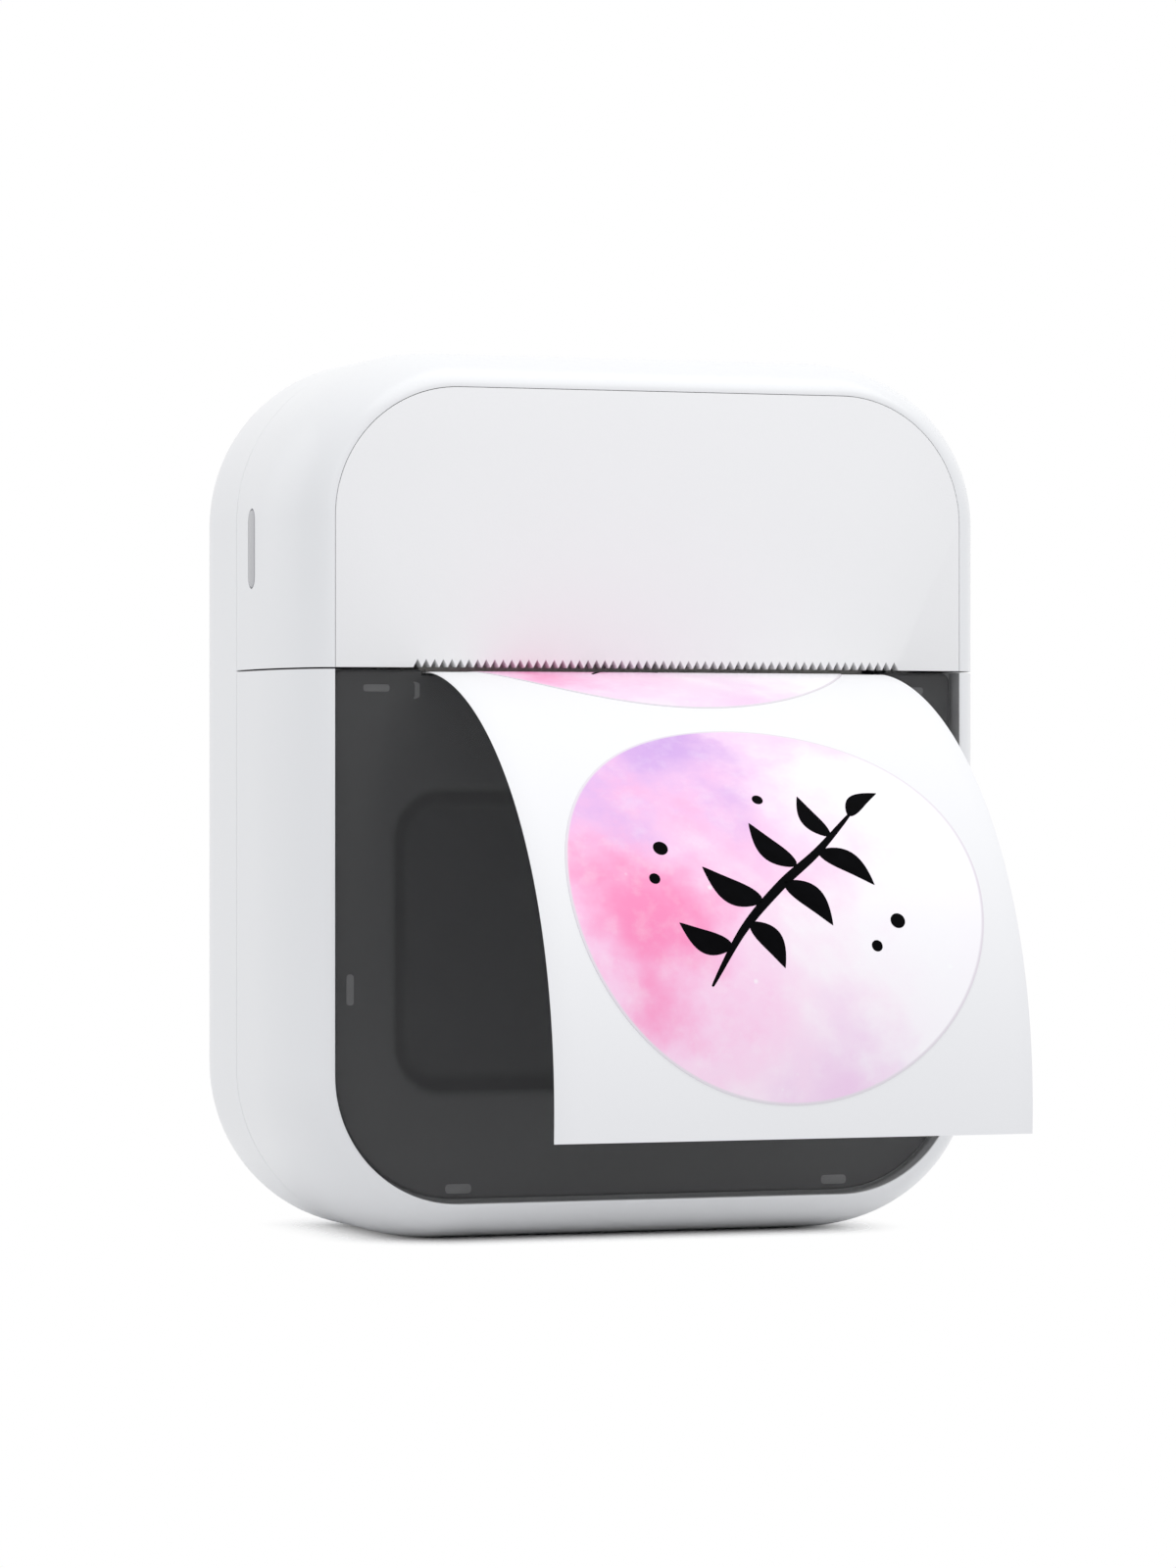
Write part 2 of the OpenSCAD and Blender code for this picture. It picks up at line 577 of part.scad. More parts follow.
module plate_pair() {
    for (x = [paper_x - plate_x - plate_t, paper_x + plate_x]) along_x(x, x + plate_t) children();
}
module chassis() {
    bay_r = roll_r + bay_gap;
    back = roll_d + bay_r + bay_t;
    plate_front = platen_d + 4.2;
    low = roll_z - bay_r - bay_t - 1;
    color([0.82, 0.82, 0.84]) placed() difference() {
        union() {
            plate_pair() polygon([[roll_d - 8, low], [back, low], [back, pcb_z - 4],
                [board_d - 2, pcb_z - 4], [board_d - 2, bracket_z], [sink_d0 + 8, bracket_z],
                [plate_front, head_z + 2], [plate_front, platen_z - 3], [roll_d - 2, roll_z + 18],
                [roll_d - 8, roll_z + 4]]);
            along_x(paper_x - plate_x - plate_t, paper_x + plate_x + plate_t) difference() {
                circle_band(bay_r, bay_r + bay_t);
                polygon([[roll_d, roll_z], [roll_d - 6, roll_z - far], [roll_d - far, roll_z - far],
                    [roll_d - far, roll_z + far], [roll_d + 60, roll_z + far], [roll_d + 60, roll_z + 22]]);
            }
            block(paper_x - plate_x, paper_x + plate_x, back - 1.2, back, low, screw_high + 4);
            block(paper_x - plate_x, paper_x + plate_x, shelf_d, back, shelf_z - bay_t, shelf_z);
            for (p = case_screw_at) rod_d(back - 0.6, inner_back, 3, p[0], p[1]);
        }
        for (p = case_screw_at) rod_d(back - 2, body_d, screw_r, p[0], p[1]);
        rod_x(gear_x0 - plate_t - 1, gear_x0, 3, motor_d, motor_z);
        rod_x(0, gear_x0, idler_bore, idler_d, idler_z);
        rod_x(-far/2, far/2, pivot_r, pivot_d, pivot_z);
        rod_x(paper_x + plate_x - motor_l - feed_room, paper_x + plate_x, motor_r + feed_room,
            motor_d, motor_z);
    }
}
shelf_z = roll_z + roll_r + 5;                          // top of the shelf over the roll
shelf_d = run_at(shelf_z - bay_t) + 1.2;                // its front edge, behind the web
module circle_band(r0, r1) {
    translate([roll_d, roll_z]) difference() {
        circle(r = r1);
        circle(r = r0);
    }
}

module idler_axle() {
    color([0.7, 0.7, 0.72]) placed() union() {
        rod_x(paper_x + plate_x - 1.2, gear_x1 + 0.3, idler_bore, idler_d, idler_z);
        rod_x(paper_x + plate_x - 1.2, paper_x + plate_x, idler_bore + 1, idler_d, idler_z);
        rod_x(gear_x1 + 0.1, gear_x1 + 0.5, idler_bore + 0.6, idler_d, idler_z);
    }
}
pinion_shaft_r = 0.75;
module motor_can() {
    color([0.62, 0.62, 0.64]) placed() difference() {
        union() {
            rod_x(paper_x + plate_x - motor_l, paper_x + plate_x, motor_r, motor_d, motor_z);
            rod_x(paper_x + plate_x - 1, paper_x + plate_x + plate_t, 2.9, motor_d, motor_z);
        }
        rod_x(paper_x + plate_x - 4, gear_x0, pinion_shaft_r + run_gap, motor_d, motor_z);
    }
}
module head_bracket() {
    color([0.75, 0.76, 0.78]) placed() union() {
        block(paper_x - plate_x - plate_t, paper_x + plate_x + plate_t, sink_d0 + 1, sink_d0 + 9.5,
            bracket_z, bracket_z + 1);
        block(paper_x - plate_x - plate_t, paper_x + plate_x + plate_t, sink_d0 + 9, sink_d0 + 9.5,
            bracket_z + 0.5, bracket_z + 4);
    }
}
module head_springs() {
    turns = 5;
    wire = 0.25;
    color([0.7, 0.7, 0.72]) placed() for (x = [spring_in - head_w/2, head_w/2 - spring_in])
        translate([paper_x + x, sink_d0 + spring_r + 3, 0]) {
        for (i = [0:turns]) translate([0, 0, sink_z + head_t + wire + (spring_h - 2*wire)*i/turns])
            rotate_extrude() translate([spring_r - wire, 0]) circle(r = wire, $fn = 16);
    }
}
module head_pivot_pin() {
    color([0.7, 0.7, 0.72]) placed()
        rod_x(paper_x - plate_x - plate_t - 0.3, paper_x + plate_x + plate_t, pivot_r, pivot_d, pivot_z);
}
module head_heatsink() {
    arm_t = 2;
    arm_x = head_w/2 - arm_t;
    color([0.72, 0.73, 0.75]) placed() translate([paper_x, 0, 0]) difference() {
        union() {
            block(-head_w/2, head_w/2, sink_d0, sink_d0 + head_len, sink_z, sink_z + head_t);
            both_sides() along_x(arm_x, arm_x + arm_t) polygon([[sink_d0 + head_len - 3, sink_z],
                [pivot_d + 2.5, sink_z], [pivot_d + 2.5, pivot_z + 2], [pivot_d - 2.5, pivot_z + 2],
                [sink_d0 + head_len - 3, sink_z + head_t]]);
        }
        rod_x(-head_w, head_w, pivot_r + run_gap, pivot_d, pivot_z);
    }
}
module head_ceramic() {
    color([0.9, 0.88, 0.82]) placed() block(paper_x - head_w/2, paper_x + head_w/2,
        platen_d - 3, platen_d + 4, head_z, sink_z);
}
module main_board() {
    color([0.1, 0.35, 0.2]) placed() difference() {
        union() {
            block(-pcb_w/2, pcb_w/2, board_d, board_d + pcb_t, pcb_z, pcb_z + pcb_h);
            block(0, panel_w/2 + 1.5, board_d, board_d + pcb_t, usb_z - 6, usb_z + 6);
        }
        for (p = board_screw_at) rod_d(board_d - cut, board_d + pcb_t + cut, small_screw_r, p[0], p[1]);
    }
}
module board_chips() {
    color([0.1, 0.1, 0.11]) placed() {
        for (c = [[-0.3, 1.7, 1, 1, 0.85], [-1.65, 0.9, 0.7, 0.6, 0.7], [1.3, 1.9, 0.6, 0.6, 1]])
            block((c[0] - c[2]/2)*chip_w, (c[0] + c[2]/2)*chip_w, board_d - c[4]*chip_t, board_d,
                pcb_z + (c[1] - c[3]/2)*chip_w, pcb_z + (c[1] + c[3]/2)*chip_w);
    }
}
module usb_socket() {
    x1 = body_w/2 - rim + reach_out(board_d, 0) - 0.6;
    color([0.72, 0.72, 0.74]) placed() translate([0, board_d - usb_w/2, usb_z]) difference() {
        along_x(x1 - usb_len, x1) pill(usb_w, usb_h);
        along_x(x1 - usb_len + 1, x1 + cut) pill(usb_w - 0.7, usb_h - 0.7);
    }
}
button_flange = 0.8;
button_in = -body_w/2 + wall + button_flange;           // inner face of the button's flange
switch_t = 1.6;
button_board_x = button_in + button_travel + 0.2 + switch_t;
module power_button() {
    color([0.78, 0.78, 0.79]) placed() translate([0, button_d, button_z]) {
        along_x(-body_w/2 - 0.1, button_in) pill(button_w, button_h);
        along_x(-body_w/2 + wall, button_in) pill(button_w + 1.4, button_h + 1.4);
    }
}
module button_board() {
    color([0.1, 0.35, 0.2]) placed()
        block(button_board_x, button_board_x + pcb_t, button_d - 4, button_d + 4, button_z - 9, button_z + 9);
}
module button_switch() {
    color([0.15, 0.15, 0.16]) placed() union() {
        block(button_board_x - switch_t + 0.5, button_board_x, button_d - 1.8, button_d + 1.8,
            button_z - 1.8, button_z + 1.8);
        rod_x(button_board_x - switch_t, button_board_x - 1, 0.8, button_d, button_z);
    }
}
module battery() {
    color([0.25, 0.45, 0.7]) placed() block(-battery_w/2, battery_w/2, battery_d, battery_d + battery_t,
        battery_z, battery_z + battery_h);
}
module head_cable() {
    t = 0.2;
    rear = sink_d0 + head_len - 1;
    top = bracket_z - 1;
    color([0.85, 0.6, 0.2]) placed() along_x(paper_x - cable_w/2, paper_x + cable_w/2)
        polygon([[rear, sink_z + head_t + 0.3], [rear + t, sink_z + head_t + 0.3], [rear + t, top - t],
            [board_d, top + 5 - t], [board_d, top + 5], [rear, top]]);
}
module paper_sensor() {
    color([0.12, 0.12, 0.13]) placed() block(paper_x - 3, paper_x + 3,
        shelf_d - 1, shelf_d + 2, shelf_z, shelf_z + 1.5);
}
module case_screws() {
    color([0.6, 0.6, 0.62]) placed() for (p = case_screw_at) difference() {
        union() {
            rod_d(inner_back - 2, body_d - 0.9, screw_r, p[0], p[1]);
            rod_d(body_d - 1, body_d - 0.15, screw_r*2.2, p[0], p[1]);
        }
        for (a = [0, 90]) translate([p[0], 0, p[1]]) rotate([0, a, 0])
            block(-screw_r*1.2, screw_r*1.2, body_d - 0.6, body_d + cut, -0.25, 0.25);
    }
}
module board_screws() {
    color([0.6, 0.6, 0.62]) placed() for (p = board_screw_at) union() {
        rod_d(board_d - 0.8, board_d, small_screw_r*1.9, p[0], p[1]);
        rod_d(board_d - 0.5, inner_back - 0.2, small_screw_r, p[0], p[1]);
    }
}
module hinge_pin() {
    color([0.7, 0.7, 0.72]) placed() rod_x(-hinge_half, hinge_half, hinge_pin_r, split_d, hinge_z);
}

/* ---- feed ---- */

bushing_r = shaft_r + 1.1;
module platen_bushings() {
    color([0.85, 0.85, 0.86]) placed() both_sides() difference() {
        rod_x(cheek_x, cheek_x + cheek_t, bushing_r, platen_d, platen_z);
        rod_x(cheek_x - cut, cheek_x + cheek_t + cut, shaft_r*0.8 + run_gap, platen_d, platen_z);
    }
}
module platen_shaft() {
    color([0.7, 0.7, 0.72]) placed() union() {
        rod_x(-cheek_x + 0.1, cheek_x - 0.1, shaft_r, platen_d, platen_z);
        rod_x(-cheek_x - cheek_t, cheek_x + cheek_t, shaft_r*0.8, platen_d, platen_z);
    }
}
module platen_rubber() {
    color([0.12, 0.12, 0.12]) placed() difference() {
        rod_x(paper_x - paper_w/2 - 0.5, paper_x + paper_w/2 + 0.5, platen_r, platen_d, platen_z);
        rod_x(-far/2, far/2, shaft_r, platen_d, platen_z);
    }
}
module platen_gear() {
    color([0.92, 0.92, 0.88]) placed() difference() {
        gear(platen_teeth, gear_x0, gear_x1, platen_d, platen_z, idler_angle);
        rod_x(-far/2, far/2, shaft_r, platen_d, platen_z);
    }
}
module idler_gear() {
    color([0.92, 0.92, 0.88]) placed() difference() {
        gear(idler_teeth, gear_x0, gear_x1, idler_d, idler_z, idler_phase);
        rod_x(-far/2, far/2, idler_bore + run_gap, idler_d, idler_z);
    }
}
module motor_pinion() {
    color([0.8, 0.68, 0.35]) placed() union() {
        gear(pinion_teeth, gear_x0, gear_x1, motor_d, motor_z, pinion_phase);
        rod_x(paper_x + plate_x - 3, gear_x1, pinion_shaft_r, motor_d, motor_z);
    }
}
module paper_roll() {
    color([0.97, 0.97, 0.97]) placed() difference() {
        rod_x(paper_x - paper_w/2, paper_x + paper_w/2, roll_r, roll_d, roll_z);
        rod_x(-far/2, far/2, core_r, roll_d, roll_z);
    }
}
module roll_core() {
    color([0.7, 0.58, 0.42]) placed() difference() {
        rod_x(paper_x - paper_w/2, paper_x + paper_w/2, core_r, roll_d, roll_z);
        rod_x(-far/2, far/2, core_r - core_t, roll_d, roll_z);
    }
}
module label_web() {
    r0 = web_platen_r - stock_t/2;
    r1 = web_platen_r + stock_t/2;
    h = stock_t/2*run_n;
    wedge = far*run_n;
    color([0.97, 0.97, 0.97]) placed() along_x(paper_x - paper_w/2, paper_x + paper_w/2) {
        translate([platen_d, platen_z]) intersection() {
            difference() {
                circle(r = r1);
                circle(r = r0);
            }
            polygon([[0.2, 0], wedge, [0.2, far]]);
        }
        polygon([run_low - h, run_low + h, run_high + h, run_high - h]);
    }
}
module label_strip() {
    top = line_offset(strip_line, stock_t/2);
    bottom = line_offset(strip_line, -stock_t/2);
    color([0.98, 0.98, 0.98]) placed() along_x(paper_x - paper_w/2, paper_x + paper_w/2)
        polygon([for (p = concat(top, [for (i = [len(bottom) - 1:-1:0]) bottom[i]])) [-p[0], p[1]]]);
}
module label_front() { color([0.95, 0.7, 0.88]) placed() label(label_at, -far); }
module label_next() { color([0.95, 0.8, 0.92]) placed() label(label_at - label_pitch, 0.6 - platen_d); }

rear_shell();
upper_frame();
upper_panel();
chassis();
idler_axle();
motor_can();
head_bracket();
head_springs();
head_pivot_pin();
main_board();
board_chips();
usb_socket();
button_board();
button_switch();
battery();
head_cable();
paper_sensor();
case_screws();
board_screws();
hinge_pin();
label_web();
head_heatsink();
head_ceramic();
motor_pinion();
idler_gear();
power_button();
paper_roll();
roll_core();
door_frame();
door_panel();
door_liner();
snap_tabs();
platen_bushings();
label_strip();
label_front();
label_next();
platen_shaft();
platen_rubber();
platen_gear();
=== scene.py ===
import json
import math

import bmesh
import bpy
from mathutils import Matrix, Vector


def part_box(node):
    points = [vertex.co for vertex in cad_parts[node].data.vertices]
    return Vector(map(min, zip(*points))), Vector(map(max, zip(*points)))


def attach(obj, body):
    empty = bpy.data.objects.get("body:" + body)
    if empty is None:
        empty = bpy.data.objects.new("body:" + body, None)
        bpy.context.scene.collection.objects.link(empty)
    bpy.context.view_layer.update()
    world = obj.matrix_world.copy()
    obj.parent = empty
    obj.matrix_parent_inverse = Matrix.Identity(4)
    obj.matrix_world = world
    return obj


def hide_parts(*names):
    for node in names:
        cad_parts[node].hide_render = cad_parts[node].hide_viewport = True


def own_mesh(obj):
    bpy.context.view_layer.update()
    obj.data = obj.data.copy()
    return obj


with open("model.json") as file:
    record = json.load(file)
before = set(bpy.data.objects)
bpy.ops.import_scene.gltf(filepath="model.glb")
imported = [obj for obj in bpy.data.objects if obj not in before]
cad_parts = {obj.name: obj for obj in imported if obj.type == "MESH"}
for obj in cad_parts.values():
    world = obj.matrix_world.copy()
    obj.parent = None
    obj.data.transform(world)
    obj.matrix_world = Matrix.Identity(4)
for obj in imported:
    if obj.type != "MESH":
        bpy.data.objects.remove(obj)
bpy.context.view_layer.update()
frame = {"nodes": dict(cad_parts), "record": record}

MM = 0.001

# ---------------------------------------------------------------- sizes, in millimetres


def box_mm(node):
    lo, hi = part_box(node)
    return Vector(lo)/MM, Vector(hi)/MM


rear_hi = box_mm("rear_shell")[1]
panel_lo, panel_hi = box_mm("door_panel")
cover_lo = box_mm("upper_panel")[0]
strip_lo, strip_hi = box_mm("label_strip")
liner_lo, liner_hi = box_mm("door_liner")
button_lo, button_hi = box_mm("power_button")

# Depths run back from the front face, which is at FRONT_Y.
FRONT_Y = panel_lo.y
BODY_H = rear_hi.z
BODY_D = rear_hi.y - FRONT_Y
RIM = rear_hi.x - panel_hi.x
PANEL_X = panel_hi.x
PANEL_T = panel_hi.y - panel_lo.y
CORNER_R = 20.0
PANEL_R = CORNER_R - RIM
FLAT_X = rear_hi.x - CORNER_R
FLAT_Z = (CORNER_R, BODY_H - CORNER_R)
FRONT_ROUND = 16.4
BACK_ROUND = 7.4
WALL = 1.8
LEFT_WALL = (-60, -38)  # across the side walls, for the cutters of their openings
RIGHT_WALL = (36, 60)
SPLIT_D = 23.6  # depth of the parting line and of the door's hinge
PANEL_GAP = 0.07
EDGE_ROUND = 0.06  # rounding of the parting edges
EDGE_HOLD = 0.25  # how far in the loops lie that keep the wall smooth beside them
COVER_Z = cover_lo.z
DOOR_Z = panel_hi.z
FRONT_BACK = SPLIT_D + 0.01
REAR_FRONT = SPLIT_D + 0.09
LEDGE_W = 1.5
LINER_D = liner_lo.y - FRONT_Y
LINER_T = 1.2
TEETH = 58
TOOTH_PITCH = 1.05
TOOTH_H = 1.0
PAPER_X = (strip_lo.x + strip_hi.x)/2
SLOT_X = (PAPER_X - TEETH*TOOTH_PITCH/2, PAPER_X + TEETH*TOOTH_PITCH/2)
SLOT_CUT = 0.7
EXIT_X = (strip_lo.x - 0.4, strip_hi.x + 0.4)

HINGE_Z = 1.25
HINGE_L = 8.0
HINGE_STEP = 8.3
HINGE_GAP = 0.25
KNUCKLE_R = 1.2
LUG_L = 3.4
PIN_R = 0.53
SCREW_HEAD_R = 2.42
SCREW_HOLE_R = 1.25
BOARD_SCREW_HEAD_R = 1.71

SOCKET_GAP = 0.3
BUTTON_FLANGE = 1.4  # how much larger than the cap the flange is
BUTTON_GAP = 0.25
BUTTON_AT = (button_lo + button_hi)/2
CAP_W = button_hi.y - button_lo.y - BUTTON_FLANGE
CAP_H = button_hi.z - button_lo.z - BUTTON_FLANGE

STOCK_T = 0.15
LABEL_T = 0.08
LABEL_R = 24.7
LABEL_AT = 46.25  # how far along the strip from the slot the label's middle lies
LABEL_PITCH = 55.0
PLATEN_D = 8.5
PAPER_Z = 66.55
REACH = 42.9
STRIP_END_Z = 14.4
STRIP_HALF = (strip_hi.x - strip_lo.x)/2
INK_LIFT = 0.02
INK_SINK = 0.01
NEXT_AT = LABEL_AT - LABEL_PITCH
NEXT_FROM = 0.6 - PLATEN_D

# ---------------------------------------------------------------- mesh helpers


def new_object(name, verts, faces, weld=False):
    """An object from points in millimetres, with its faces turned outwards."""
    mesh = bpy.data.meshes.new(name)
    mesh.from_pydata([Vector(v)*MM for v in verts], [], faces)
    if weld:
        mesh.validate()
    bm = bmesh.new()
    bm.from_mesh(mesh)
    if weld:
        bmesh.ops.remove_doubles(bm, verts=bm.verts, dist=1e-8)
    bmesh.ops.recalc_face_normals(bm, faces=bm.faces)
    bm.to_mesh(mesh)
    bm.free()
    obj = bpy.data.objects.new(name, mesh)
    bpy.context.scene.collection.objects.link(obj)
    return obj


def shade(mesh, sharp):
    """Smooth shading that breaks at edges sharper than an angle in degrees."""
    mesh.shade_smooth()
    mesh.set_sharp_from_angle(angle=math.radians(sharp))


def add_piece(name, verts, faces, body, slot, replaces=(), sharp=32.0):
    """A piece from points in millimetres, riding on a body."""
    obj = new_object(name, verts, faces, weld=True)
    shade(obj.data, sharp)
    if replaces:
        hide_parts(*replaces)
    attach(obj, body)
    return obj


def applied(obj, sharp=32.0):
    """Bakes an object's modifiers into its own mesh."""
    graph = bpy.context.evaluated_depsgraph_get()
    graph.update()
    mesh = bpy.data.meshes.new_from_object(obj.evaluated_get(graph))
    obj.modifiers.clear()
    obj.data = mesh
    shade(mesh, sharp)
    return obj


def cut_by(obj, cutters):
    """Cuts other solids out of an object and removes them."""
    for cutter in cutters:
        mod = obj.modifiers.new("cut", "BOOLEAN")
        mod.operation = "DIFFERENCE"
        mod.solver = "EXACT"
        mod.object = cutter
    applied(obj)
    for cutter in cutters:
        bpy.data.objects.remove(cutter)
    return obj


def soften(obj, width, segments=3, angle=40.0):
    """Rounds an object's sharp edges by width, in millimetres."""
    mod = obj.modifiers.new("soften", "BEVEL")
    mod.width = width*MM
    mod.segments = segments
    mod.limit_method = "ANGLE"
    mod.angle_limit = math.radians(angle)
    mod.harden_normals = False
    return applied(obj)


def loft(loops):
    """Points and faces of a closed solid through loops of the same count."""
    n = len(loops[0])
    verts = [p for loop in loops for p in loop]
    last = len(verts) - n
    faces = [tuple(range(n)), tuple(range(last + n - 1, last - 1, -1))]
    for a in range(0, last, n):
        faces += [(a + i, a + (i + 1) % n, a + n + (i + 1) % n, a + n + i) for i in range(n)]
    return verts, faces


def merged(solids):
    """Several solids' points and faces as one."""
    verts, faces = [], []
    for more_verts, more_faces in solids:
        faces += [tuple(len(verts) + i for i in face) for face in more_faces]
        verts += more_verts
    return verts, faces


def prism(outline, a, b, place):
    """An outline carried from a to b; place turns (u, v, w) into a point."""
    return loft([[place(u, v, w) for u, v in outline] for w in (a, b)])


def along_y(u, v, w):
    return (u, FRONT_Y + w, v)


def along_x(u, v, w):
    return (w, FRONT_Y + u, v)


def arc(cx, cy, r, a0, a1, n):
    return [(cx + r*math.cos(math.radians(a0 + (a1 - a0)*i/n)),
             cy + r*math.sin(math.radians(a0 + (a1 - a0)*i/n))) for i in range(n + 1)]


def pill(cx, cy, w, h, n=12):
    return arc(cx, cy + (h - w)/2, w/2, 0, 180, n) + arc(cx, cy - (h - w)/2, w/2, 180, 360, n)


def circle(cx, cy, r, n=32):
    return arc(cx, cy, r, 0, 360, n)[:-1]


def rounded_box(cx, cy, half_x, half_y, r, n):
    """An outline whose corner arcs are centred half_x and half_y out from the middle."""
    outline = []
    for sx, sy, a0 in ((1, 1, 0), (-1, 1, 90), (-1, -1, 180), (1, -1, 270)):
        outline += arc(cx + sx*half_x, cy + sy*half_y, r, a0, a0 + 90, n)
    return outline


# ---------------------------------------------------------------- the casing's form


def reach_out(d, t):
    """How far the casing, thinned by t, stands out past the panels' outline at depth d."""
    if d < FRONT_ROUND:
        f = (FRONT_ROUND - d)/(FRONT_ROUND - t)
    elif d > BODY_D - BACK_ROUND:
        f = (d - BODY_D + BACK_ROUND)/(BACK_ROUND - t)
    else:
        return RIM - t
    return (RIM - t)*math.sqrt(max(0.0, 1 - f*f))


def wall_curve(t, d0, d1, front_steps=26, back_steps=18):
    """The wall's section as (reach, depth) points from depth d0 to d1."""
    ds = [d0]
    for i in range(1, front_steps):
        ds.append(FRONT_ROUND - (FRONT_ROUND - t)*math.cos(math.pi/2*i/front_steps))
    ds += [FRONT_ROUND, BODY_D - BACK_ROUND]
    for i in range(1, back_steps):
        ds.append(BODY_D - BACK_ROUND + (BACK_ROUND - t)*math.sin(math.pi/2*i/back_steps))
    inside = [d for d in ds[1:] if d0 + 0.02 < d < d1 - 0.02]
    return [(reach_out(d, t), d) for d in [d0] + inside + [d1]]


def outline_path(z_low, z_high, steps=30):
    """(x, z, outward x, outward z) all round the panels' outline, starting low on the right."""
    path = []
    corners = [(FLAT_X, FLAT_Z[1], 0), (-FLAT_X, FLAT_Z[1], 90),
               (-FLAT_X, FLAT_Z[0], 180), (FLAT_X, FLAT_Z[0], 270)]
    for cx, cz, a0 in corners:
        for i in range(steps + 1):
            a = math.radians(a0 + 90*i/steps)
            nx, nz = math.cos(a), math.sin(a)
            path.append((cx + PANEL_R*nx, cz + PANEL_R*nz, nx, nz))
    if z_low is not None:
        upper = path[:2*(steps + 1)]
        return [(PANEL_X, z_low, 1, 0)] + upper + [(-PANEL_X, z_low, -1, 0)]
    if z_high is not None:
        lower = path[2*(steps + 1):]
        return [(-PANEL_X, z_high, -1, 0)] + lower + [(PANEL_X, z_high, 1, 0)]
    return path


def sweep(path, profile, closed_path, closed_profile=True):
    """Points and faces of a (reach, depth) profile carried along a path."""
    n, m = len(path), len(profile)
    verts = [(x + nx*o, FRONT_Y + d, z + nz*o) for x, z, nx, nz in path for o, d in profile]
    faces = []
    for i in range(n if closed_path else n - 1):
        j = (i + 1) % n
        for k in range(m if closed_profile else m - 1):
            l = (k + 1) % m
            faces.append((i*m + k, i*m + l, j*m + l, j*m + k))
    if not closed_path:
        faces.append(tuple(range(m)))
        faces.append(tuple((n - 1)*m + k for k in range(m - 1, -1, -1)))
    return verts, faces


def frame_profile(l0, l1):
    """Section of a front frame whose window has a ledge between depths l0 and l1."""
    lip = FRONT_ROUND*(1 - math.sqrt(1 - (PANEL_GAP/RIM)**2)) + EDGE_ROUND/3
    start = PANEL_GAP + EDGE_ROUND/3
    outer = [(PANEL_GAP, lip + EDGE_ROUND), (start, lip + EDGE_ROUND/3)]
    outer += [p for p in wall_curve(0, lip, FRONT_BACK) if p[0] > PANEL_GAP + 0.07]
    outer[-1] = (RIM, FRONT_BACK - EDGE_HOLD)
    outer += [(RIM, FRONT_BACK - EDGE_ROUND), (RIM - EDGE_ROUND/3, FRONT_BACK - EDGE_ROUND/3),
              (RIM - EDGE_ROUND, FRONT_BACK)]
    inner = wall_curve(WALL, l1, FRONT_BACK, 12, 8)[::-1]
    return outer + inner + [(-LEDGE_W, l1), (-LEDGE_W, l0), (PANEL_GAP, l0)]


# ---------------------------------------------------------------- materials


class Shader:
    """Builds one principled material with node-based detail."""

    def __init__(self, name, color, rough, metallic=0.0, **sockets):
        self.mat = bpy.data.materials.new(name)
        self.mat.use_nodes = True
        self.tree = self.mat.node_tree
        self.bsdf = self.tree.nodes["Principled BSDF"]
        self.color = (*color, 1.0)
        self.bsdf.inputs["Base Color"].default_value = self.color
        self.bsdf.inputs["Roughness"].default_value = rough
        self.bsdf.inputs["Metallic"].default_value = metallic
        for key, value in sockets.items():
            self.bsdf.inputs[key.replace("_", " ")].default_value = value

    def node(self, kind, **values):
        n = self.tree.nodes.new(kind)
        for key, value in values.items():
            if hasattr(n, key):
                setattr(n, key, value)
            else:
                n.inputs[key.replace("_", " ")].default_value = value
        return n

    def link(self, a, b):
        self.tree.links.new(a, b)

    def coords(self, scale=(1, 1, 1), kind="Object"):
        place = self.node("ShaderNodeTexCoord")
        mapping = self.node("ShaderNodeMapping")
        mapping.inputs["Scale"].default_value = scale
        self.link(place.outputs[kind], mapping.inputs["Vector"])
        return mapping.outputs["Vector"]

    def noise(self, vector, scale, detail=4.0, rough=0.55):
        n = self.node("ShaderNodeTexNoise", Scale=scale, Detail=detail, Roughness=rough)
        self.link(vector, n.inputs["Vector"])
        return n.outputs["Fac"]

    def ramp(self, fac, *stops):
        n = self.node("ShaderNodeValToRGB")
        while len(n.color_ramp.elements) < len(stops):
            n.color_ramp.elements.new(0.5)
        for e, (pos, color) in zip(n.color_ramp.elements, stops):
            e.position = pos
            e.color = (*color, 1.0)
        self.link(fac, n.inputs["Fac"])
        return n.outputs["Color"]

    def spread(self, fac, low, high):
        n = self.node("ShaderNodeMapRange")
        n.inputs["To Min"].default_value = low
        n.inputs["To Max"].default_value = high
        self.link(fac, n.inputs["Value"])
        return n.outputs["Result"]

    def mix(self, fac, a, b):
        n = self.node("ShaderNodeMix", data_type="RGBA")
        for socket, value in ((n.inputs[0], fac), (n.inputs[6], a), (n.inputs[7], b)):
            if hasattr(value, "links"):
                self.link(value, socket)
            else:
                socket.default_value = value if isinstance(value, float) else (*value[:3], 1.0)
        return n.outputs[2]

    def bump(self, height, strength, distance):
        n = self.node("ShaderNodeBump", Strength=strength, Distance=distance)
        self.link(height, n.inputs["Height"])
        self.link(n.outputs["Normal"], self.bsdf.inputs["Normal"])

    def base(self, color):
        self.link(color, self.bsdf.inputs["Base Color"])

    def roughness(self, value):
        self.link(value, self.bsdf.inputs["Roughness"])


def moulded(name, color, rough, grain=0.00002, vary=0.03, **sockets):
    """Moulded plastic: faint tone drift, fine sparkle of the mould's texture, uneven gloss."""
    s = Shader(name, color, rough, **sockets)
    at = s.coords()
    drift = s.noise(at, 35.0, 2.0)
    s.base(s.mix(s.spread(drift, 0.0, 1.0), [c*(1 - vary) for c in color], color))
    s.roughness(s.spread(s.noise(at, 260.0), rough*0.92, rough*1.08))
    s.bump(s.noise(at, 5200.0, 2.0), 0.35, grain)
    return s.mat


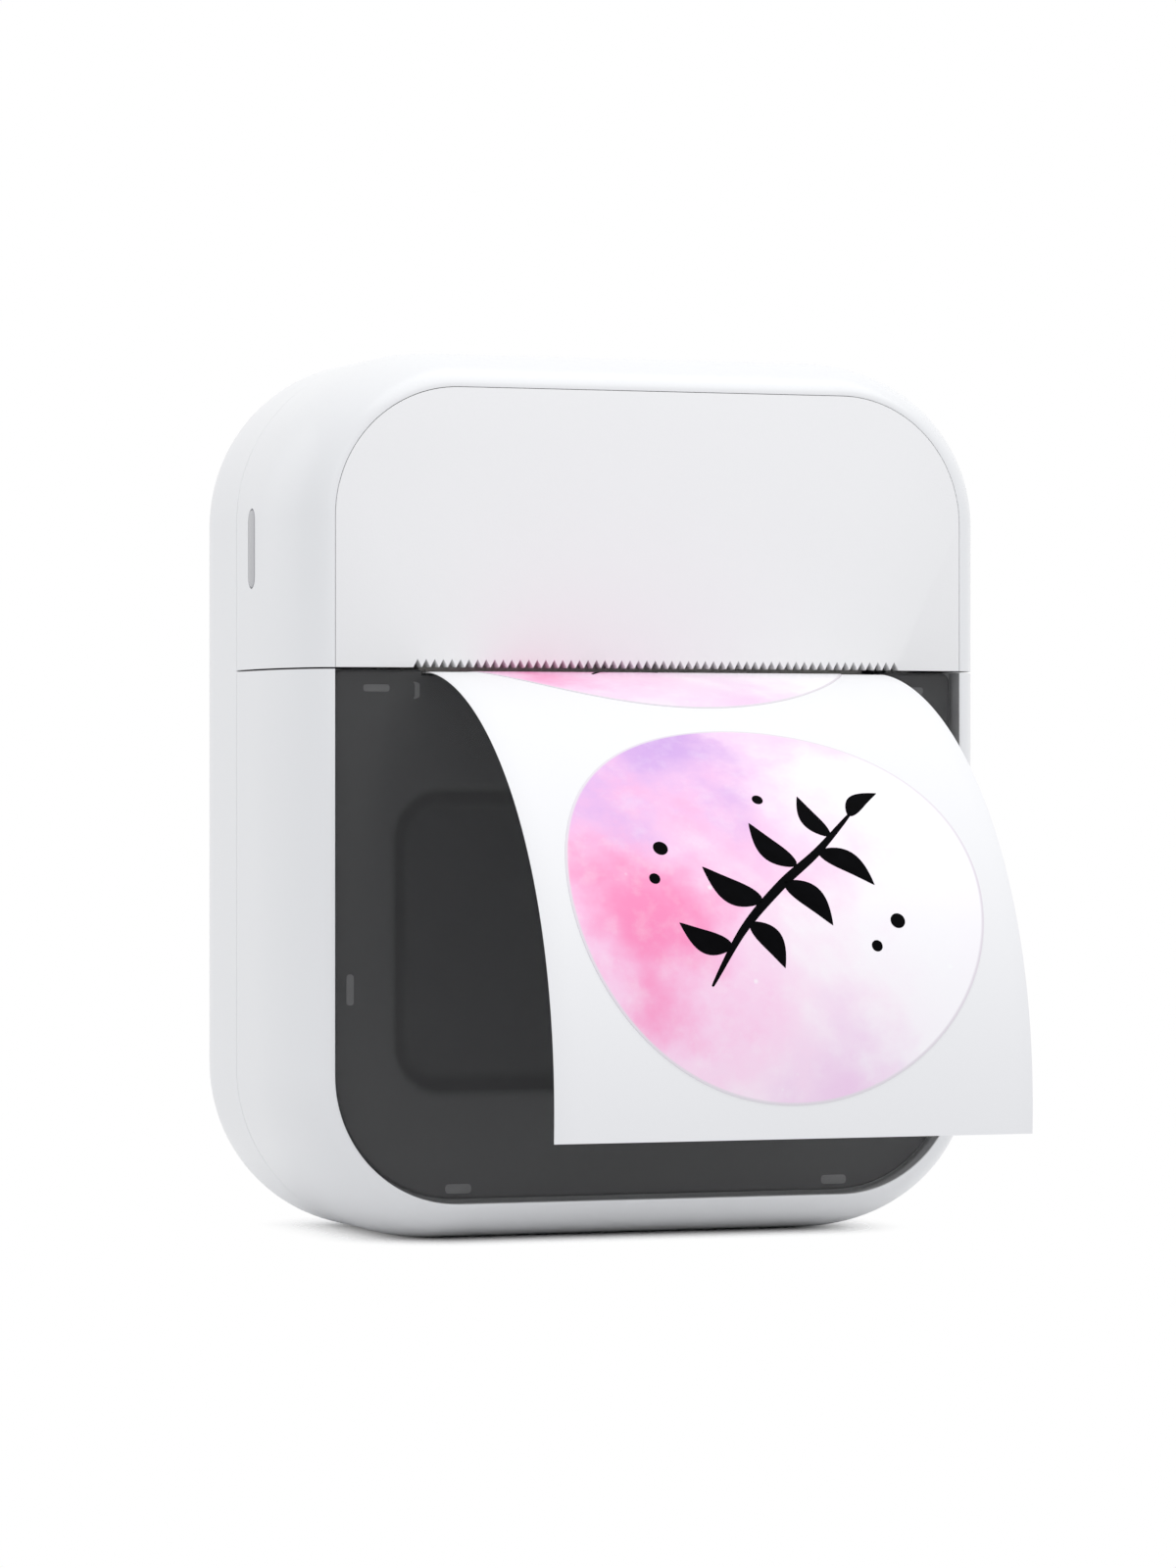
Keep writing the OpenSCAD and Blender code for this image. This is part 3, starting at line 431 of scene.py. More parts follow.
def machined(name, color, rough, stretch=(1, 1, 1), metallic=1.0):
    """Metal with fine drawn or turned lines."""
    s = Shader(name, color, rough, metallic)
    at = s.coords(stretch)
    lines = s.noise(at, 900.0, 3.0)
    s.base(s.mix(lines, [c*0.88 for c in color], color))
    s.roughness(s.spread(lines, rough*0.8, rough*1.25))
    s.bump(lines, 0.3, 0.00001)
    return s.mat


def paper_stock(name, color, rough=0.62):
    """Coated paper: a whisper of fibre in tone and surface."""
    s = Shader(name, color, rough)
    at = s.coords()
    fibre = s.noise(at, 2600.0, 5.0, 0.65)
    s.base(s.mix(fibre, [c*0.985 for c in color], color))
    s.bump(fibre, 0.18, 0.000012)
    return s.mat


def roll_paper():
    """The roll's ends show its turns as fine rings."""
    s = Shader("roll_paper", (0.93, 0.93, 0.93), 0.7)
    lo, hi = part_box("paper_roll")
    centre = (Vector(lo) + Vector(hi))/2
    at = s.coords()
    shift = s.node("ShaderNodeVectorMath", operation="SUBTRACT")
    shift.inputs[1].default_value = centre
    flat = s.node("ShaderNodeVectorMath", operation="MULTIPLY")
    flat.inputs[1].default_value = (0, 1, 1)
    length = s.node("ShaderNodeVectorMath", operation="LENGTH")
    s.link(at, shift.inputs[0])
    s.link(shift.outputs[0], flat.inputs[0])
    s.link(flat.outputs[0], length.inputs[0])
    turns = s.node("ShaderNodeMath", operation="MULTIPLY")
    turns.inputs[1].default_value = 2*math.pi/(STOCK_T*2*MM)
    s.link(length.outputs["Value"], turns.inputs[0])
    wave = s.node("ShaderNodeMath", operation="SINE")
    s.link(turns.outputs[0], wave.inputs[0])
    ring = s.spread(wave.outputs[0], 0.0, 1.0)
    s.base(s.mix(ring, (0.84, 0.84, 0.85), (0.94, 0.94, 0.94)))
    s.bump(ring, 0.4, 0.00002)
    return s.mat


def cardboard():
    s = Shader("cardboard", (0.52, 0.39, 0.25), 0.85)
    at = s.coords()
    fibre = s.noise(at, 1400.0, 6.0, 0.7)
    s.base(s.mix(fibre, (0.42, 0.31, 0.19), (0.58, 0.44, 0.29)))
    s.bump(fibre, 0.5, 0.00004)
    return s.mat


def board():
    """Circuit board: solder mask over faint tracks and pads."""
    s = Shader("board_mask", (0.02, 0.12, 0.05), 0.3)
    at = s.coords()
    brick = s.node("ShaderNodeTexBrick", Scale=220.0)
    brick.inputs["Mortar Size"].default_value = 0.03
    brick.inputs["Color1"].default_value = (0.02, 0.13, 0.055, 1)
    brick.inputs["Color2"].default_value = (0.018, 0.11, 0.045, 1)
    brick.inputs["Mortar"].default_value = (0.05, 0.24, 0.10, 1)
    turned = s.node("ShaderNodeMapping")
    turned.inputs["Rotation"].default_value = (math.pi/2, 0, 0)
    s.link(at, turned.inputs["Vector"])
    s.link(turned.outputs["Vector"], brick.inputs["Vector"])
    s.base(brick.outputs["Color"])
    s.bump(brick.outputs["Fac"], 0.2, 0.00003)
    return s.mat


def smoked():
    """Smoked clear plastic: nearly black, with a little of what lies behind showing through."""
    s = Shader("smoked", (0.022, 0.022, 0.023), 0.28, Alpha=0.26, IOR=1.45)
    at = s.coords()
    haze = s.noise(at, 60.0)
    s.base(s.mix(haze, (0.018, 0.018, 0.019), (0.026, 0.026, 0.027)))
    s.roughness(s.spread(haze, 0.24, 0.28))
    return s.mat


def liner_plastic():
    """Dark textured plastic, with painted shade down the recess's slopes and on its floor."""
    s = Shader("dark_liner", (0.15, 0.15, 0.152), 0.5)
    at = s.coords()
    # Painted shade: the colour darkens with depth into the recess, most on its slopes, a little
    # less on its floor.
    split = s.node("ShaderNodeSeparateXYZ")
    s.link(at, split.inputs[0])
    depth = s.node("ShaderNodeMapRange")
    depth.inputs["From Min"].default_value = (FRONT_Y + LINER_D + 0.05)*MM
    depth.inputs["From Max"].default_value = (FRONT_Y + LINER_D + LINER_T + 0.7)*MM
    s.link(split.outputs["Y"], depth.inputs["Value"])
    tone = s.ramp(depth.outputs["Result"],
                  (0.0, (0.150, 0.150, 0.152)), (0.3, (0.062, 0.062, 0.064)),
                  (0.7, (0.062, 0.062, 0.064)), (1.0, (0.098, 0.098, 0.100)))
    s.base(s.mix(s.spread(s.noise(at, 300.0, 3.0), 0.0, 0.12), tone, (0.12, 0.12, 0.122)))
    s.roughness(s.spread(s.noise(at, 150.0), 0.46, 0.54))
    return s.mat


WASH_WHITE = (0.98, 0.95, 0.98)
# (across, up, radius of full colour, radius where it ends) in label radii, and the colour.
WASH_SPOTS = [
    ((-0.5, 0.1, 0.2, 1.15), (0.99, 0.58, 0.83)),
    ((-0.46, -0.02, 0.0, 0.42), (0.98, 0.26, 0.52)),
    ((-0.30, 0.66, 0.1, 0.6), (0.62, 0.36, 0.76)),
    ((0.16, 0.84, 0.0, 0.45), (0.99, 0.62, 0.86)),
    ((0.05, -0.66, 0.0, 0.45), (0.90, 0.64, 0.86)),
    ((0.38, -0.78, 0.0, 0.22), (0.72, 0.62, 0.88)),
    ((0.55, 0.05, 0.1, 0.62), (0.98, 0.96, 0.98)),
]


def label_art():
    """A round label's wash: soft violet, pink and white clouds with a few pale specks."""
    s = Shader("label_art", (1, 1, 1), 0.42, Coat_Weight=0.15, Coat_Roughness=0.3)
    at = s.node("ShaderNodeUVMap", uv_map="art").outputs["UV"]
    cloud = s.node("ShaderNodeTexNoise", Scale=1.6, Detail=5.0, Roughness=0.55)
    s.link(at, cloud.inputs["Vector"])
    # The clouds bend the places where the colours lie.
    bent = s.node("ShaderNodeMix", data_type="VECTOR")
    bent.inputs[0].default_value = 0.35
    s.link(at, bent.inputs[4])
    pull = s.node("ShaderNodeVectorMath", operation="MULTIPLY_ADD")
    pull.inputs[1].default_value = (3.2, 3.2, 0)
    pull.inputs[2].default_value = (-1.6, -1.6, 0)
    s.link(cloud.outputs["Color"], pull.inputs[0])
    s.link(pull.outputs[0], bent.inputs[5])
    place = bent.outputs[1]

    def spot(x, y, inner, outer):
        away = s.node("ShaderNodeVectorMath", operation="DISTANCE")
        away.inputs[1].default_value = (x, y, 0)
        s.link(place, away.inputs[0])
        n = s.node("ShaderNodeMapRange", interpolation_type="SMOOTHSTEP")
        n.inputs["From Min"].default_value = inner
        n.inputs["From Max"].default_value = outer
        n.inputs["To Min"].default_value = 1.0
        n.inputs["To Max"].default_value = 0.0
        s.link(away.outputs["Value"], n.inputs["Value"])
        return n.outputs["Result"]

    color = WASH_WHITE
    for where, tone in WASH_SPOTS:
        color = s.mix(spot(*where), color, tone)
    grain = s.noise(at, 7.0, 5.0, 0.6)
    color = s.mix(s.spread(grain, -0.45, 0.45), color, (1.0, 1.0, 1.0))
    specks = s.node("ShaderNodeTexVoronoi", Scale=5.5)
    s.link(at, specks.inputs["Vector"])
    near = s.ramp(specks.outputs["Distance"], (0.0, (1, 1, 1)), (0.085, (0, 0, 0)))
    color = s.mix(near, color, (1.0, 1.0, 1.0))
    centre = s.node("ShaderNodeVectorMath", operation="LENGTH")
    s.link(at, centre.inputs[0])
    edge = s.ramp(centre.outputs["Value"], (0.984, (0, 0, 0)), (0.992, (1, 1, 1)))
    s.base(s.mix(edge, color, (0.78, 0.73, 0.78)))
    return s.mat


def ink():
    s = Shader("ink", (0.002, 0.002, 0.003), 0.7, Specular_IOR_Level=0.02)
    at = s.coords()
    s.base(s.mix(s.noise(at, 700.0), (0.001, 0.001, 0.001), (0.004, 0.004, 0.005)))
    s.roughness(s.spread(s.noise(at, 900.0), 0.6, 0.8))
    return s.mat


WHITE = moulded("white_shell", (0.865, 0.87, 0.875), 0.3, Coat_Weight=0.25, Coat_Roughness=0.18)
COVER = moulded("white_panel", (0.91, 0.908, 0.908), 0.3, Coat_Weight=0.5, Coat_Roughness=0.15)
SMOKED = smoked()
LINER = liner_plastic()
TAB = moulded("tab_plastic", (0.40, 0.40, 0.40), 0.5)
BUTTON = moulded("button_plastic", (0.53, 0.53, 0.54), 0.42)
CHASSIS = moulded("chassis_plastic", (0.60, 0.60, 0.62), 0.5, 0.00004)
GEAR = moulded("gear_plastic", (0.83, 0.83, 0.78), 0.35)
CHIP = moulded("chip_black", (0.03, 0.03, 0.03), 0.55, 0.00004)
WRAP = moulded("battery_wrap", (0.06, 0.20, 0.45), 0.28)
FILM = moulded("cable_film", (0.62, 0.33, 0.07), 0.35)
RUBBER = moulded("roller_rubber", (0.022, 0.022, 0.022), 0.75, 0.00008)
STEEL = machined("steel", (0.62, 0.62, 0.64), 0.32, (0.05, 1, 1))
ALLOY = machined("alloy", (0.72, 0.73, 0.75), 0.38, (0.05, 1, 1))
BRASS = machined("brass", (0.75, 0.58, 0.28), 0.3, (0.05, 1, 1))
CERAMIC = moulded("ceramic", (0.84, 0.82, 0.76), 0.4)
PAPER = paper_stock("label_stock", (0.90, 0.90, 0.905))
ROLL = roll_paper()
CORE = cardboard()
BOARD = board()
ART = label_art()
INK = ink()

SLOT_MATERIAL = {
    "white_shell": WHITE, "white_panel": COVER, "smoked_panel": SMOKED, "dark_liner": LINER,
    "tab_plastic": TAB, "button_plastic": BUTTON, "chassis_plastic": CHASSIS, "steel": STEEL,
    "aluminium": ALLOY, "ceramic": CERAMIC, "gear_plastic": GEAR, "brass": BRASS,
    "roller_rubber": RUBBER, "paper": PAPER, "cardboard": CORE, "label_paper": ART,
    "board_green": BOARD, "chip_black": CHIP, "battery_wrap": WRAP, "cable_film": FILM,
}


def dress(obj, mat):
    obj.data.materials.clear()
    obj.data.materials.append(mat)
    return obj


# ---------------------------------------------------------------- camera and light

# The focal length and the horizon are in pixels of an image 1200 wide and 1600 high.
CAMERA_AT = (-240.2, FRONT_Y - 637.4, 54.3)
CAMERA_TURN = 20.0
FOCAL_PX = 5916.0
IMAGE_PX = 1600.0
HORIZON_PX = 794.0
SENSOR = 36.0
WORLD_COLOR = (0.96, 0.97, 1.0, 1)
WORLD_STRENGTH = 0.785
# Lamps and the floor are in metres: a lamp's name, place, size and power in watts, then the
# printer's footprint and where the floor starts and ends to clear, past it.
LAMP_AIM = (0, 0, 0.05)
LAMPS = [
    ("top", (0.15, -0.2, 0.9), (1.1, 1.0), 3.6),
    ("front", (0.5, -1.0, 0.5), (0.9, 0.9), 0.4),
    ("front_left", (-0.6, -1.0, 0.5), (0.6, 0.6), 0.45),
    ("back_left", (-0.7, 0.8, 0.4), (0.6, 0.6), 0.4),
]
FLOOR_HALF = 6.0
FOOT_MIDDLE = (0, 0.0045, 0)
FOOT_HALF = (0.021, 0.010, 0)
LIGHT_FADE = (0.006, 0.04)
CAMERA_FADE = (0.002, 0.017)


def make_camera():
    data = bpy.data.cameras.new("camera")
    cam = bpy.data.objects.new("camera", data)
    bpy.context.scene.collection.objects.link(cam)
    cam.location = Vector(CAMERA_AT)*MM
    cam.rotation_euler = (math.pi/2, 0, -math.radians(CAMERA_TURN))
    data.sensor_width = SENSOR
    data.lens = FOCAL_PX/IMAGE_PX*SENSOR
    data.shift_y = (HORIZON_PX - IMAGE_PX/2)/IMAGE_PX
    data.clip_start, data.clip_end = 0.01, 20.0
    bpy.context.scene.camera = cam


def area_light(name, at, size, power):
    data = bpy.data.lights.new(name, "AREA")
    data.shape = "RECTANGLE"
    data.size, data.size_y = size
    data.energy = power
    lamp = bpy.data.objects.new(name, data)
    bpy.context.scene.collection.objects.link(lamp)
    lamp.location = at
    lamp.rotation_euler = (Vector(LAMP_AIM) - Vector(at)).to_track_quat("-Z", "Y").to_euler()


def make_world():
    world = bpy.data.worlds.new("studio")
    bpy.context.scene.world = world
    world.use_nodes = True
    tree = world.node_tree
    tree.nodes.clear()
    out = tree.nodes.new("ShaderNodeOutputWorld")
    light = tree.nodes.new("ShaderNodeBackground")
    white = tree.nodes.new("ShaderNodeBackground")
    mix = tree.nodes.new("ShaderNodeMixShader")
    path = tree.nodes.new("ShaderNodeLightPath")
    light.inputs["Color"].default_value = WORLD_COLOR
    light.inputs["Strength"].default_value = WORLD_STRENGTH
    white.inputs["Color"].default_value = (1, 1, 1, 1)
    white.inputs["Strength"].default_value = 1.0
    # The backdrop is white to the camera, in reflections and through glass.
    seen = path.outputs["Is Camera Ray"]
    for kind in ("Is Transmission Ray", "Is Glossy Ray"):
        most = tree.nodes.new("ShaderNodeMath")
        most.operation = "MAXIMUM"
        tree.links.new(seen, most.inputs[0])
        tree.links.new(path.outputs[kind], most.inputs[1])
        seen = most.outputs[0]
    tree.links.new(seen, mix.inputs["Fac"])
    tree.links.new(light.outputs[0], mix.inputs[1])
    tree.links.new(white.outputs[0], mix.inputs[2])
    tree.links.new(mix.outputs[0], out.inputs["Surface"])


def make_floor():
    """A pale floor that holds the contact shadow and is clear further out and from below."""
    size = FLOOR_HALF
    mesh = bpy.data.meshes.new("floor")
    mesh.from_pydata([(-size, -size, 0), (size, -size, 0), (size, size, 0), (-size, size, 0)], [],
                     [(0, 1, 2, 3)])
    floor = bpy.data.objects.new("floor", mesh)
    bpy.context.scene.collection.objects.link(floor)
    s = Shader("floor", (0.90, 0.90, 0.90), 0.9)
    s.bsdf.inputs["Specular IOR Level"].default_value = 0.0
    out = s.tree.nodes["Material Output"]
    clear = s.node("ShaderNodeBsdfTransparent")
    mix = s.node("ShaderNodeMixShader")
    at = s.node("ShaderNodeTexCoord").outputs["Object"]
    # Distance from the footprint.
    middle = s.node("ShaderNodeVectorMath", operation="SUBTRACT")
    middle.inputs[1].default_value = FOOT_MIDDLE
    spans = s.node("ShaderNodeVectorMath", operation="ABSOLUTE")
    past = s.node("ShaderNodeVectorMath", operation="SUBTRACT")
    past.inputs[1].default_value = FOOT_HALF
    front = s.node("ShaderNodeVectorMath", operation="MAXIMUM")
    front.inputs[1].default_value = (0, 0, 0)
    away = s.node("ShaderNodeVectorMath", operation="LENGTH")
    s.link(at, middle.inputs[0])
    s.link(middle.outputs[0], spans.inputs[0])
    s.link(spans.outputs[0], past.inputs[0])
    s.link(past.outputs[0], front.inputs[0])
    s.link(front.outputs[0], away.inputs[0])
    fades = []
    for near, far in (LIGHT_FADE, CAMERA_FADE):
        fade = s.node("ShaderNodeMapRange", interpolation_type="SMOOTHSTEP")
        fade.inputs["From Min"].default_value = near
        fade.inputs["From Max"].default_value = far
        s.link(away.outputs["Value"], fade.inputs["Value"])
        fades.append(fade.outputs["Result"])
    # The floor reflects light from further out than its shadow shows.
    seen = s.node("ShaderNodeMix", data_type="FLOAT")
    s.link(s.node("ShaderNodeLightPath").outputs["Is Camera Ray"], seen.inputs[0])
    s.link(fades[0], seen.inputs[2])
    s.link(fades[1], seen.inputs[3])
    under = s.node("ShaderNodeNewGeometry")
    open_part = s.node("ShaderNodeMath", operation="MAXIMUM")
    s.link(seen.outputs[0], open_part.inputs[0])
    s.link(under.outputs["Backfacing"], open_part.inputs[1])
    s.link(open_part.outputs[0], mix.inputs["Fac"])
    s.link(s.bsdf.outputs[0], mix.inputs[1])
    s.link(clear.outputs[0], mix.inputs[2])
    s.link(mix.outputs[0], out.inputs["Surface"])
    mesh.materials.append(s.mat)


make_camera()
make_world()
for lamp_row in LAMPS:
    area_light(*lamp_row)
make_floor()
bpy.context.scene.view_settings.view_transform = "Standard"

# ---------------------------------------------------------------- casing


def make_rear_shell():
    front = [(RIM - EDGE_ROUND, REAR_FRONT), (RIM - EDGE_ROUND/3, REAR_FRONT + EDGE_ROUND/3),
             (RIM, REAR_FRONT + EDGE_ROUND)]
    outer = wall_curve(0, REAR_FRONT + EDGE_HOLD, BODY_D)
    inner = wall_curve(WALL, REAR_FRONT, BODY_D - WALL, 12, 8)[::-1]
    profile = inner + front + outer
    path = outline_path(None, None)
    verts, faces = sweep(path, profile, True, False)
    m, n = len(profile), len(path)
    faces.append(tuple(i*m for i in range(n)))
    faces.append(tuple(i*m + m - 1 for i in range(n - 1, -1, -1)))
    shell = add_piece("rear_casing", verts, faces, "housing", "white_shell", ("rear_shell",))
    lo, hi = box_mm("usb_socket")
    socket = pill((lo.y + hi.y)/2 - FRONT_Y, (lo.z + hi.z)/2, hi.y - lo.y + SOCKET_GAP,
                  hi.z - lo.z + SOCKET_GAP)
    cutters = [new_object("usb_cut", *prism(socket, *RIGHT_WALL, along_x))]
    lo, hi = box_mm("case_screws")
    for x in (lo.x + SCREW_HEAD_R, hi.x - SCREW_HEAD_R):
        for z in (lo.z + SCREW_HEAD_R, hi.z - SCREW_HEAD_R):
            for r, n, deep in ((SCREW_HEAD_R + 0.2, 32, 1), (SCREW_HOLE_R, 24, 4)):
                hole = prism(circle(x, z, r, n), BODY_D - deep, BODY_D + 2, along_y)
                cutters.append(new_object("screw_cut", *hole))
    for x in (-HINGE_STEP, HINGE_STEP):
        cutters.append(hinge_cut(x))
    dress(cut_by(shell, cutters), WHITE)
    knuckles("rear_knuckles", (-2*HINGE_STEP, 0, 2*HINGE_STEP), LUG_L, "housing")


def hinge_cut(x):
    """The room that the casings leave for a knuckle of the other one."""
    half = HINGE_L/2 + 0.3
    room = circle(SPLIT_D, HINGE_Z, KNUCKLE_R + HINGE_GAP, 40)
    return new_object("hinge_cut", *prism(room, x - half, x + half, along_x))


def knuckles(name, places, away, body):
    """Round knuckles bored for the pin, with lugs that reach away, back or to the front."""
    side = 1 if away > 0 else -1
    outline = arc(SPLIT_D, HINGE_Z, KNUCKLE_R, 90, 90 + 270*side, 30)
    outline += [(SPLIT_D + away, HINGE_Z), (SPLIT_D + away, HINGE_Z + 1)]
    bore = circle(SPLIT_D, HINGE_Z, PIN_R, 24)
    solids = []
    for x in places:
        part = new_object(name + "_part", *prism(outline, x - HINGE_L/2, x + HINGE_L/2, along_x))
        cut_by(part, [new_object("pin_bore", *prism(bore, x - HINGE_L, x + HINGE_L, along_x))])
        solids.append(([tuple(v.co/MM) for v in part.data.vertices],
                       [tuple(face.vertices) for face in part.data.polygons]))
        bpy.data.objects.remove(part)
    dress(add_piece(name, *merged(solids), body, "white_shell"), WHITE)


def make_upper_frame():
    verts, faces = sweep(outline_path(COVER_Z, None), frame_profile(LINER_D, LINER_D + 1.3), False)
    part = add_piece("upper_casing", verts, faces, "housing", "white_shell", ("upper_frame",))
    slot = pill(BUTTON_AT.y - FRONT_Y, BUTTON_AT.z, CAP_W + BUTTON_GAP, CAP_H + BUTTON_GAP)
    dress(cut_by(part, [new_object("button_cut", *prism(slot, *LEFT_WALL, along_x))]), WHITE)
    # The wall behind the white panel, which carries the battery.
    inset, foot = 1.0, 1.5
    inner = [(x - nx*inset, z - nz*inset) for x, z, nx, nz in outline_path(COVER_Z + foot, None)]
    back = add_piece("cover_wall", *prism(inner, LINER_D + 0.1, LINER_D + 1.2, along_y),
                     "housing", "white_shell")
    dress(soften(back, 0.1), WHITE)


def tooth_line():
    """The tear edge, from left to right, in width and height."""
    line = []
    for i in range(TEETH + 1):
        line.append((SLOT_X[0] + i*TOOTH_PITCH, COVER_Z + 0.02))
        if i < TEETH:
            line.append((SLOT_X[0] + (i + 0.5)*TOOTH_PITCH, COVER_Z + TOOTH_H))
    return line


def panel(name, outline, body, slot, node, mat, edge):
    obj = add_piece(name, *prism(outline, 0, PANEL_T, along_y), body, slot, (node,))
    return dress(soften(obj, edge, 3, 30.0), mat)


def make_panels():
    upper = [(x, z) for x, z, _, _ in outline_path(COVER_Z, None)]
    panel("cover_panel", upper + tooth_line(), "housing", "white_panel", "upper_panel", COVER, 0.06)
    lower = [(x, z) for x, z, _, _ in outline_path(None, DOOR_Z)]
    notch = [(EXIT_X[1], DOOR_Z), (EXIT_X[1], DOOR_Z - SLOT_CUT),
             (EXIT_X[0], DOOR_Z - SLOT_CUT), (EXIT_X[0], DOOR_Z)]
    panel("smoked_panel", lower + notch, "door", "smoked_panel", "door_panel", SMOKED, 0.12)


def make_door_frame():
    ledge = LINER_D + LINER_T + 0.1
    verts, faces = sweep(outline_path(None, DOOR_Z), frame_profile(ledge, ledge + 1), False)
    part = add_piece("door_casing", verts, faces, "door", "white_shell", ("door_frame",))
    # The lower rear edge is cut back, so that it clears the rear casing as the door swings.
    front, top, half = SPLIT_D - 1.25, HINGE_Z - 0.05, FLAT_X + CORNER_R*0.4
    relief = [(front, -1), (SPLIT_D + 2, -1), (SPLIT_D + 2, top), (front, top)]
    cutters = [new_object("relief", *prism(relief, -half, half, along_x))]
    cutters += [hinge_cut(x) for x in (-2*HINGE_STEP, 0, 2*HINGE_STEP)]
    dress(cut_by(part, cutters), WHITE)
    knuckles("door_knuckles", (-HINGE_STEP, HINGE_STEP), -LUG_L, "door")


def rounded_loop(x, z0, z1, r_low, r_high, n=14, m=10):
    """A loop of evenly counted points round a rectangle with its own lower and upper corners."""
    corners = [(x - r_high, z1 - r_high, r_high, 0), (-x + r_high, z1 - r_high, r_high, 90),
               (-x + r_low, z0 + r_low, r_low, 180), (x - r_low, z0 + r_low, r_low, 270)]
    sides = [arc(cx, cz, r, a0, a0 + 90, n) for cx, cz, r, a0 in corners]
    pts = []
    for k, side in enumerate(sides):
        last, nxt = side[-1], sides[(k + 1) % 4][0]
        pts += side
        pts += [(last[0] + (nxt[0] - last[0])*i/m, last[1] + (nxt[1] - last[1])*i/m)
                for i in range(1, m)]
    return pts


RECESS_X = 29.0
RECESS_Z = (20.0, 50.6)
RECESS_R = 3.5
RECESS_T = 1.8
RECESS_SKIN = 1.1
RECESS_SLOPE = 3.0


def recess_loop(grow):
    return rounded_loop(RECESS_X + grow, RECESS_Z[0] - grow, RECESS_Z[1] + grow, RECESS_R + grow,
                        RECESS_R + grow)


def make_liner():
    """The dark liner behind the smoked panel, with its sloped recess."""
    edge, bevel, steps = 0.4, 0.25, 10
    x, z0, z1 = PANEL_X - edge, RIM + edge, DOOR_Z - 0.05
    front = LINER_D
    back = LINER_D + LINER_T
    deep = back + RECESS_T - RECESS_SKIN
    outer = rounded_loop(x, z0, z1, PANEL_R - edge, 1.0)
    small = rounded_loop(x - bevel, z0 + bevel, z1 - bevel, PANEL_R - edge - bevel, 1.0 - bevel)
    loops = [(outer, front + bevel), (outer, back - bevel), (small, back),
             (recess_loop(RECESS_SLOPE + RECESS_SKIN), back),
             (recess_loop(RECESS_SKIN), back + RECESS_T - 0.2),
             (recess_loop(-0.2), back + RECESS_T)]
    front_loops = [(small, front)]
    # The slope falls in an S from the face to the recess's floor.
    for i in range(steps + 1):
        u = i/steps
        grow = RECESS_SLOPE + 0.3 - (RECESS_SLOPE + 0.6)*u
        front_loops.append((recess_loop(grow), front + (deep - front)*u*u*(3 - 2*u)))
    order = front_loops[::-1] + loops
    verts, faces = loft([[along_y(u, v, d) for u, v in loop] for loop, d in order])
    liner = add_piece("liner", verts, faces, "door", "dark_liner", ("door_liner",), 40.0)
    notch = [(EXIT_X[0], DOOR_Z - SLOT_CUT), (EXIT_X[1], DOOR_Z - SLOT_CUT),
             (EXIT_X[1], z1 + 2), (EXIT_X[0], z1 + 2)]
    dress(cut_by(liner, [new_object("liner_notch", *prism(notch, 0, 5, along_y))]), LINER)
    make_cheeks(back - 0.2)


def make_cheeks(front):
    """The liner's two plates that hold the platen's bushings."""
    c_lo, c_hi = box_mm("platen_bushings")
    thick = 1.4
    mid_d, mid_z = (c_lo.y + c_hi.y)/2 - FRONT_Y, (c_lo.z + c_hi.z)/2
    back, top, low = liner_hi.y - FRONT_Y, DOOR_Z - SLOT_CUT, mid_z - 9
    outline = [(front, low), (back, low + 4)] + arc(back - 2, top - 2, 2, 0, 90, 8)
    outline.append((front, top))
    hole = circle(mid_d, mid_z, (c_hi.z - c_lo.z)/2)
    for name, x in (("cheek_right", c_hi.x - thick), ("cheek_left", c_lo.x)):
        cheek = add_piece(name, *prism(outline, x, x + thick, along_x), "door", "dark_liner")
        cut_by(cheek, [new_object("cheek_hole", *prism(hole, x - 1, x + thick + 1, along_x))])
        dress(soften(cheek, 0.12), LINER)


# A pair of tabs each: distance from the middle, height, its own width and height, bow of its ends.
TABS = [(33.6, 64.75, 3.2, 0.85, 0.0), (36.8, 29.8, 0.9, 3.6, 0.0), (23.6, 6.5, 3.2, 1.1, 0.0),
        (28.2, 64.5, 0.6, 2.0, -0.8)]


def make_tabs():
    """Small light catches behind the smoked panel: stadium shapes, the upper inner pair curved."""
    solids = []
    rings = [(1.0, PANEL_T + 0.55), (1.0, PANEL_T + 0.05), (0.93, PANEL_T + 0.01)]
    for side in (-1, 1):
        for x, z, w, h, bow in TABS:
            r = min(w, h)*0.42
            outline = rounded_box(0, 0, w/2 - r, h/2 - r, r, 6)
            if h > w:
                outline = [(u + bow*4*v*v/(h*h), v) for u, v in outline]
            solids.append(loft([[along_y(side*(x - k*u), z + k*v, d) for u, v in outline]
                                for k, d in rings]))
    dress(add_piece("light_tabs", *merged(solids), "door", "tab_plastic", ("snap_tabs",)), TAB)


def make_button():
    """The narrow power button, softly rounded, with its flange behind the wall."""
    mid_d, mid_z = BUTTON_AT.y - FRONT_Y, BUTTON_AT.z
    cap = pill(mid_d, mid_z, CAP_W, CAP_H, 16)
    top, inner = button_lo.x, button_hi.x
    steps = [(0.35, top), (0.12, top + 0.06), (0.0, top + 0.25), (0.0, inner)]
    solid = loft([[along_x(u - (u - mid_d)*k/1.4, v - (v - mid_z)*k/4.6, w) for u, v in cap]
                  for k, w in steps])
    dress(add_piece("button_cap", *solid, "button", "button_plastic", ("power_button",)), BUTTON)
    flange = pill(mid_d, mid_z, CAP_W + BUTTON_FLANGE, CAP_H + BUTTON_FLANGE, 16)
    rim = add_piece("button_flange", *prism(flange, inner - 0.8, inner, along_x), "button",
                    "button_plastic")
    dress(soften(rim, 0.12), BUTTON)


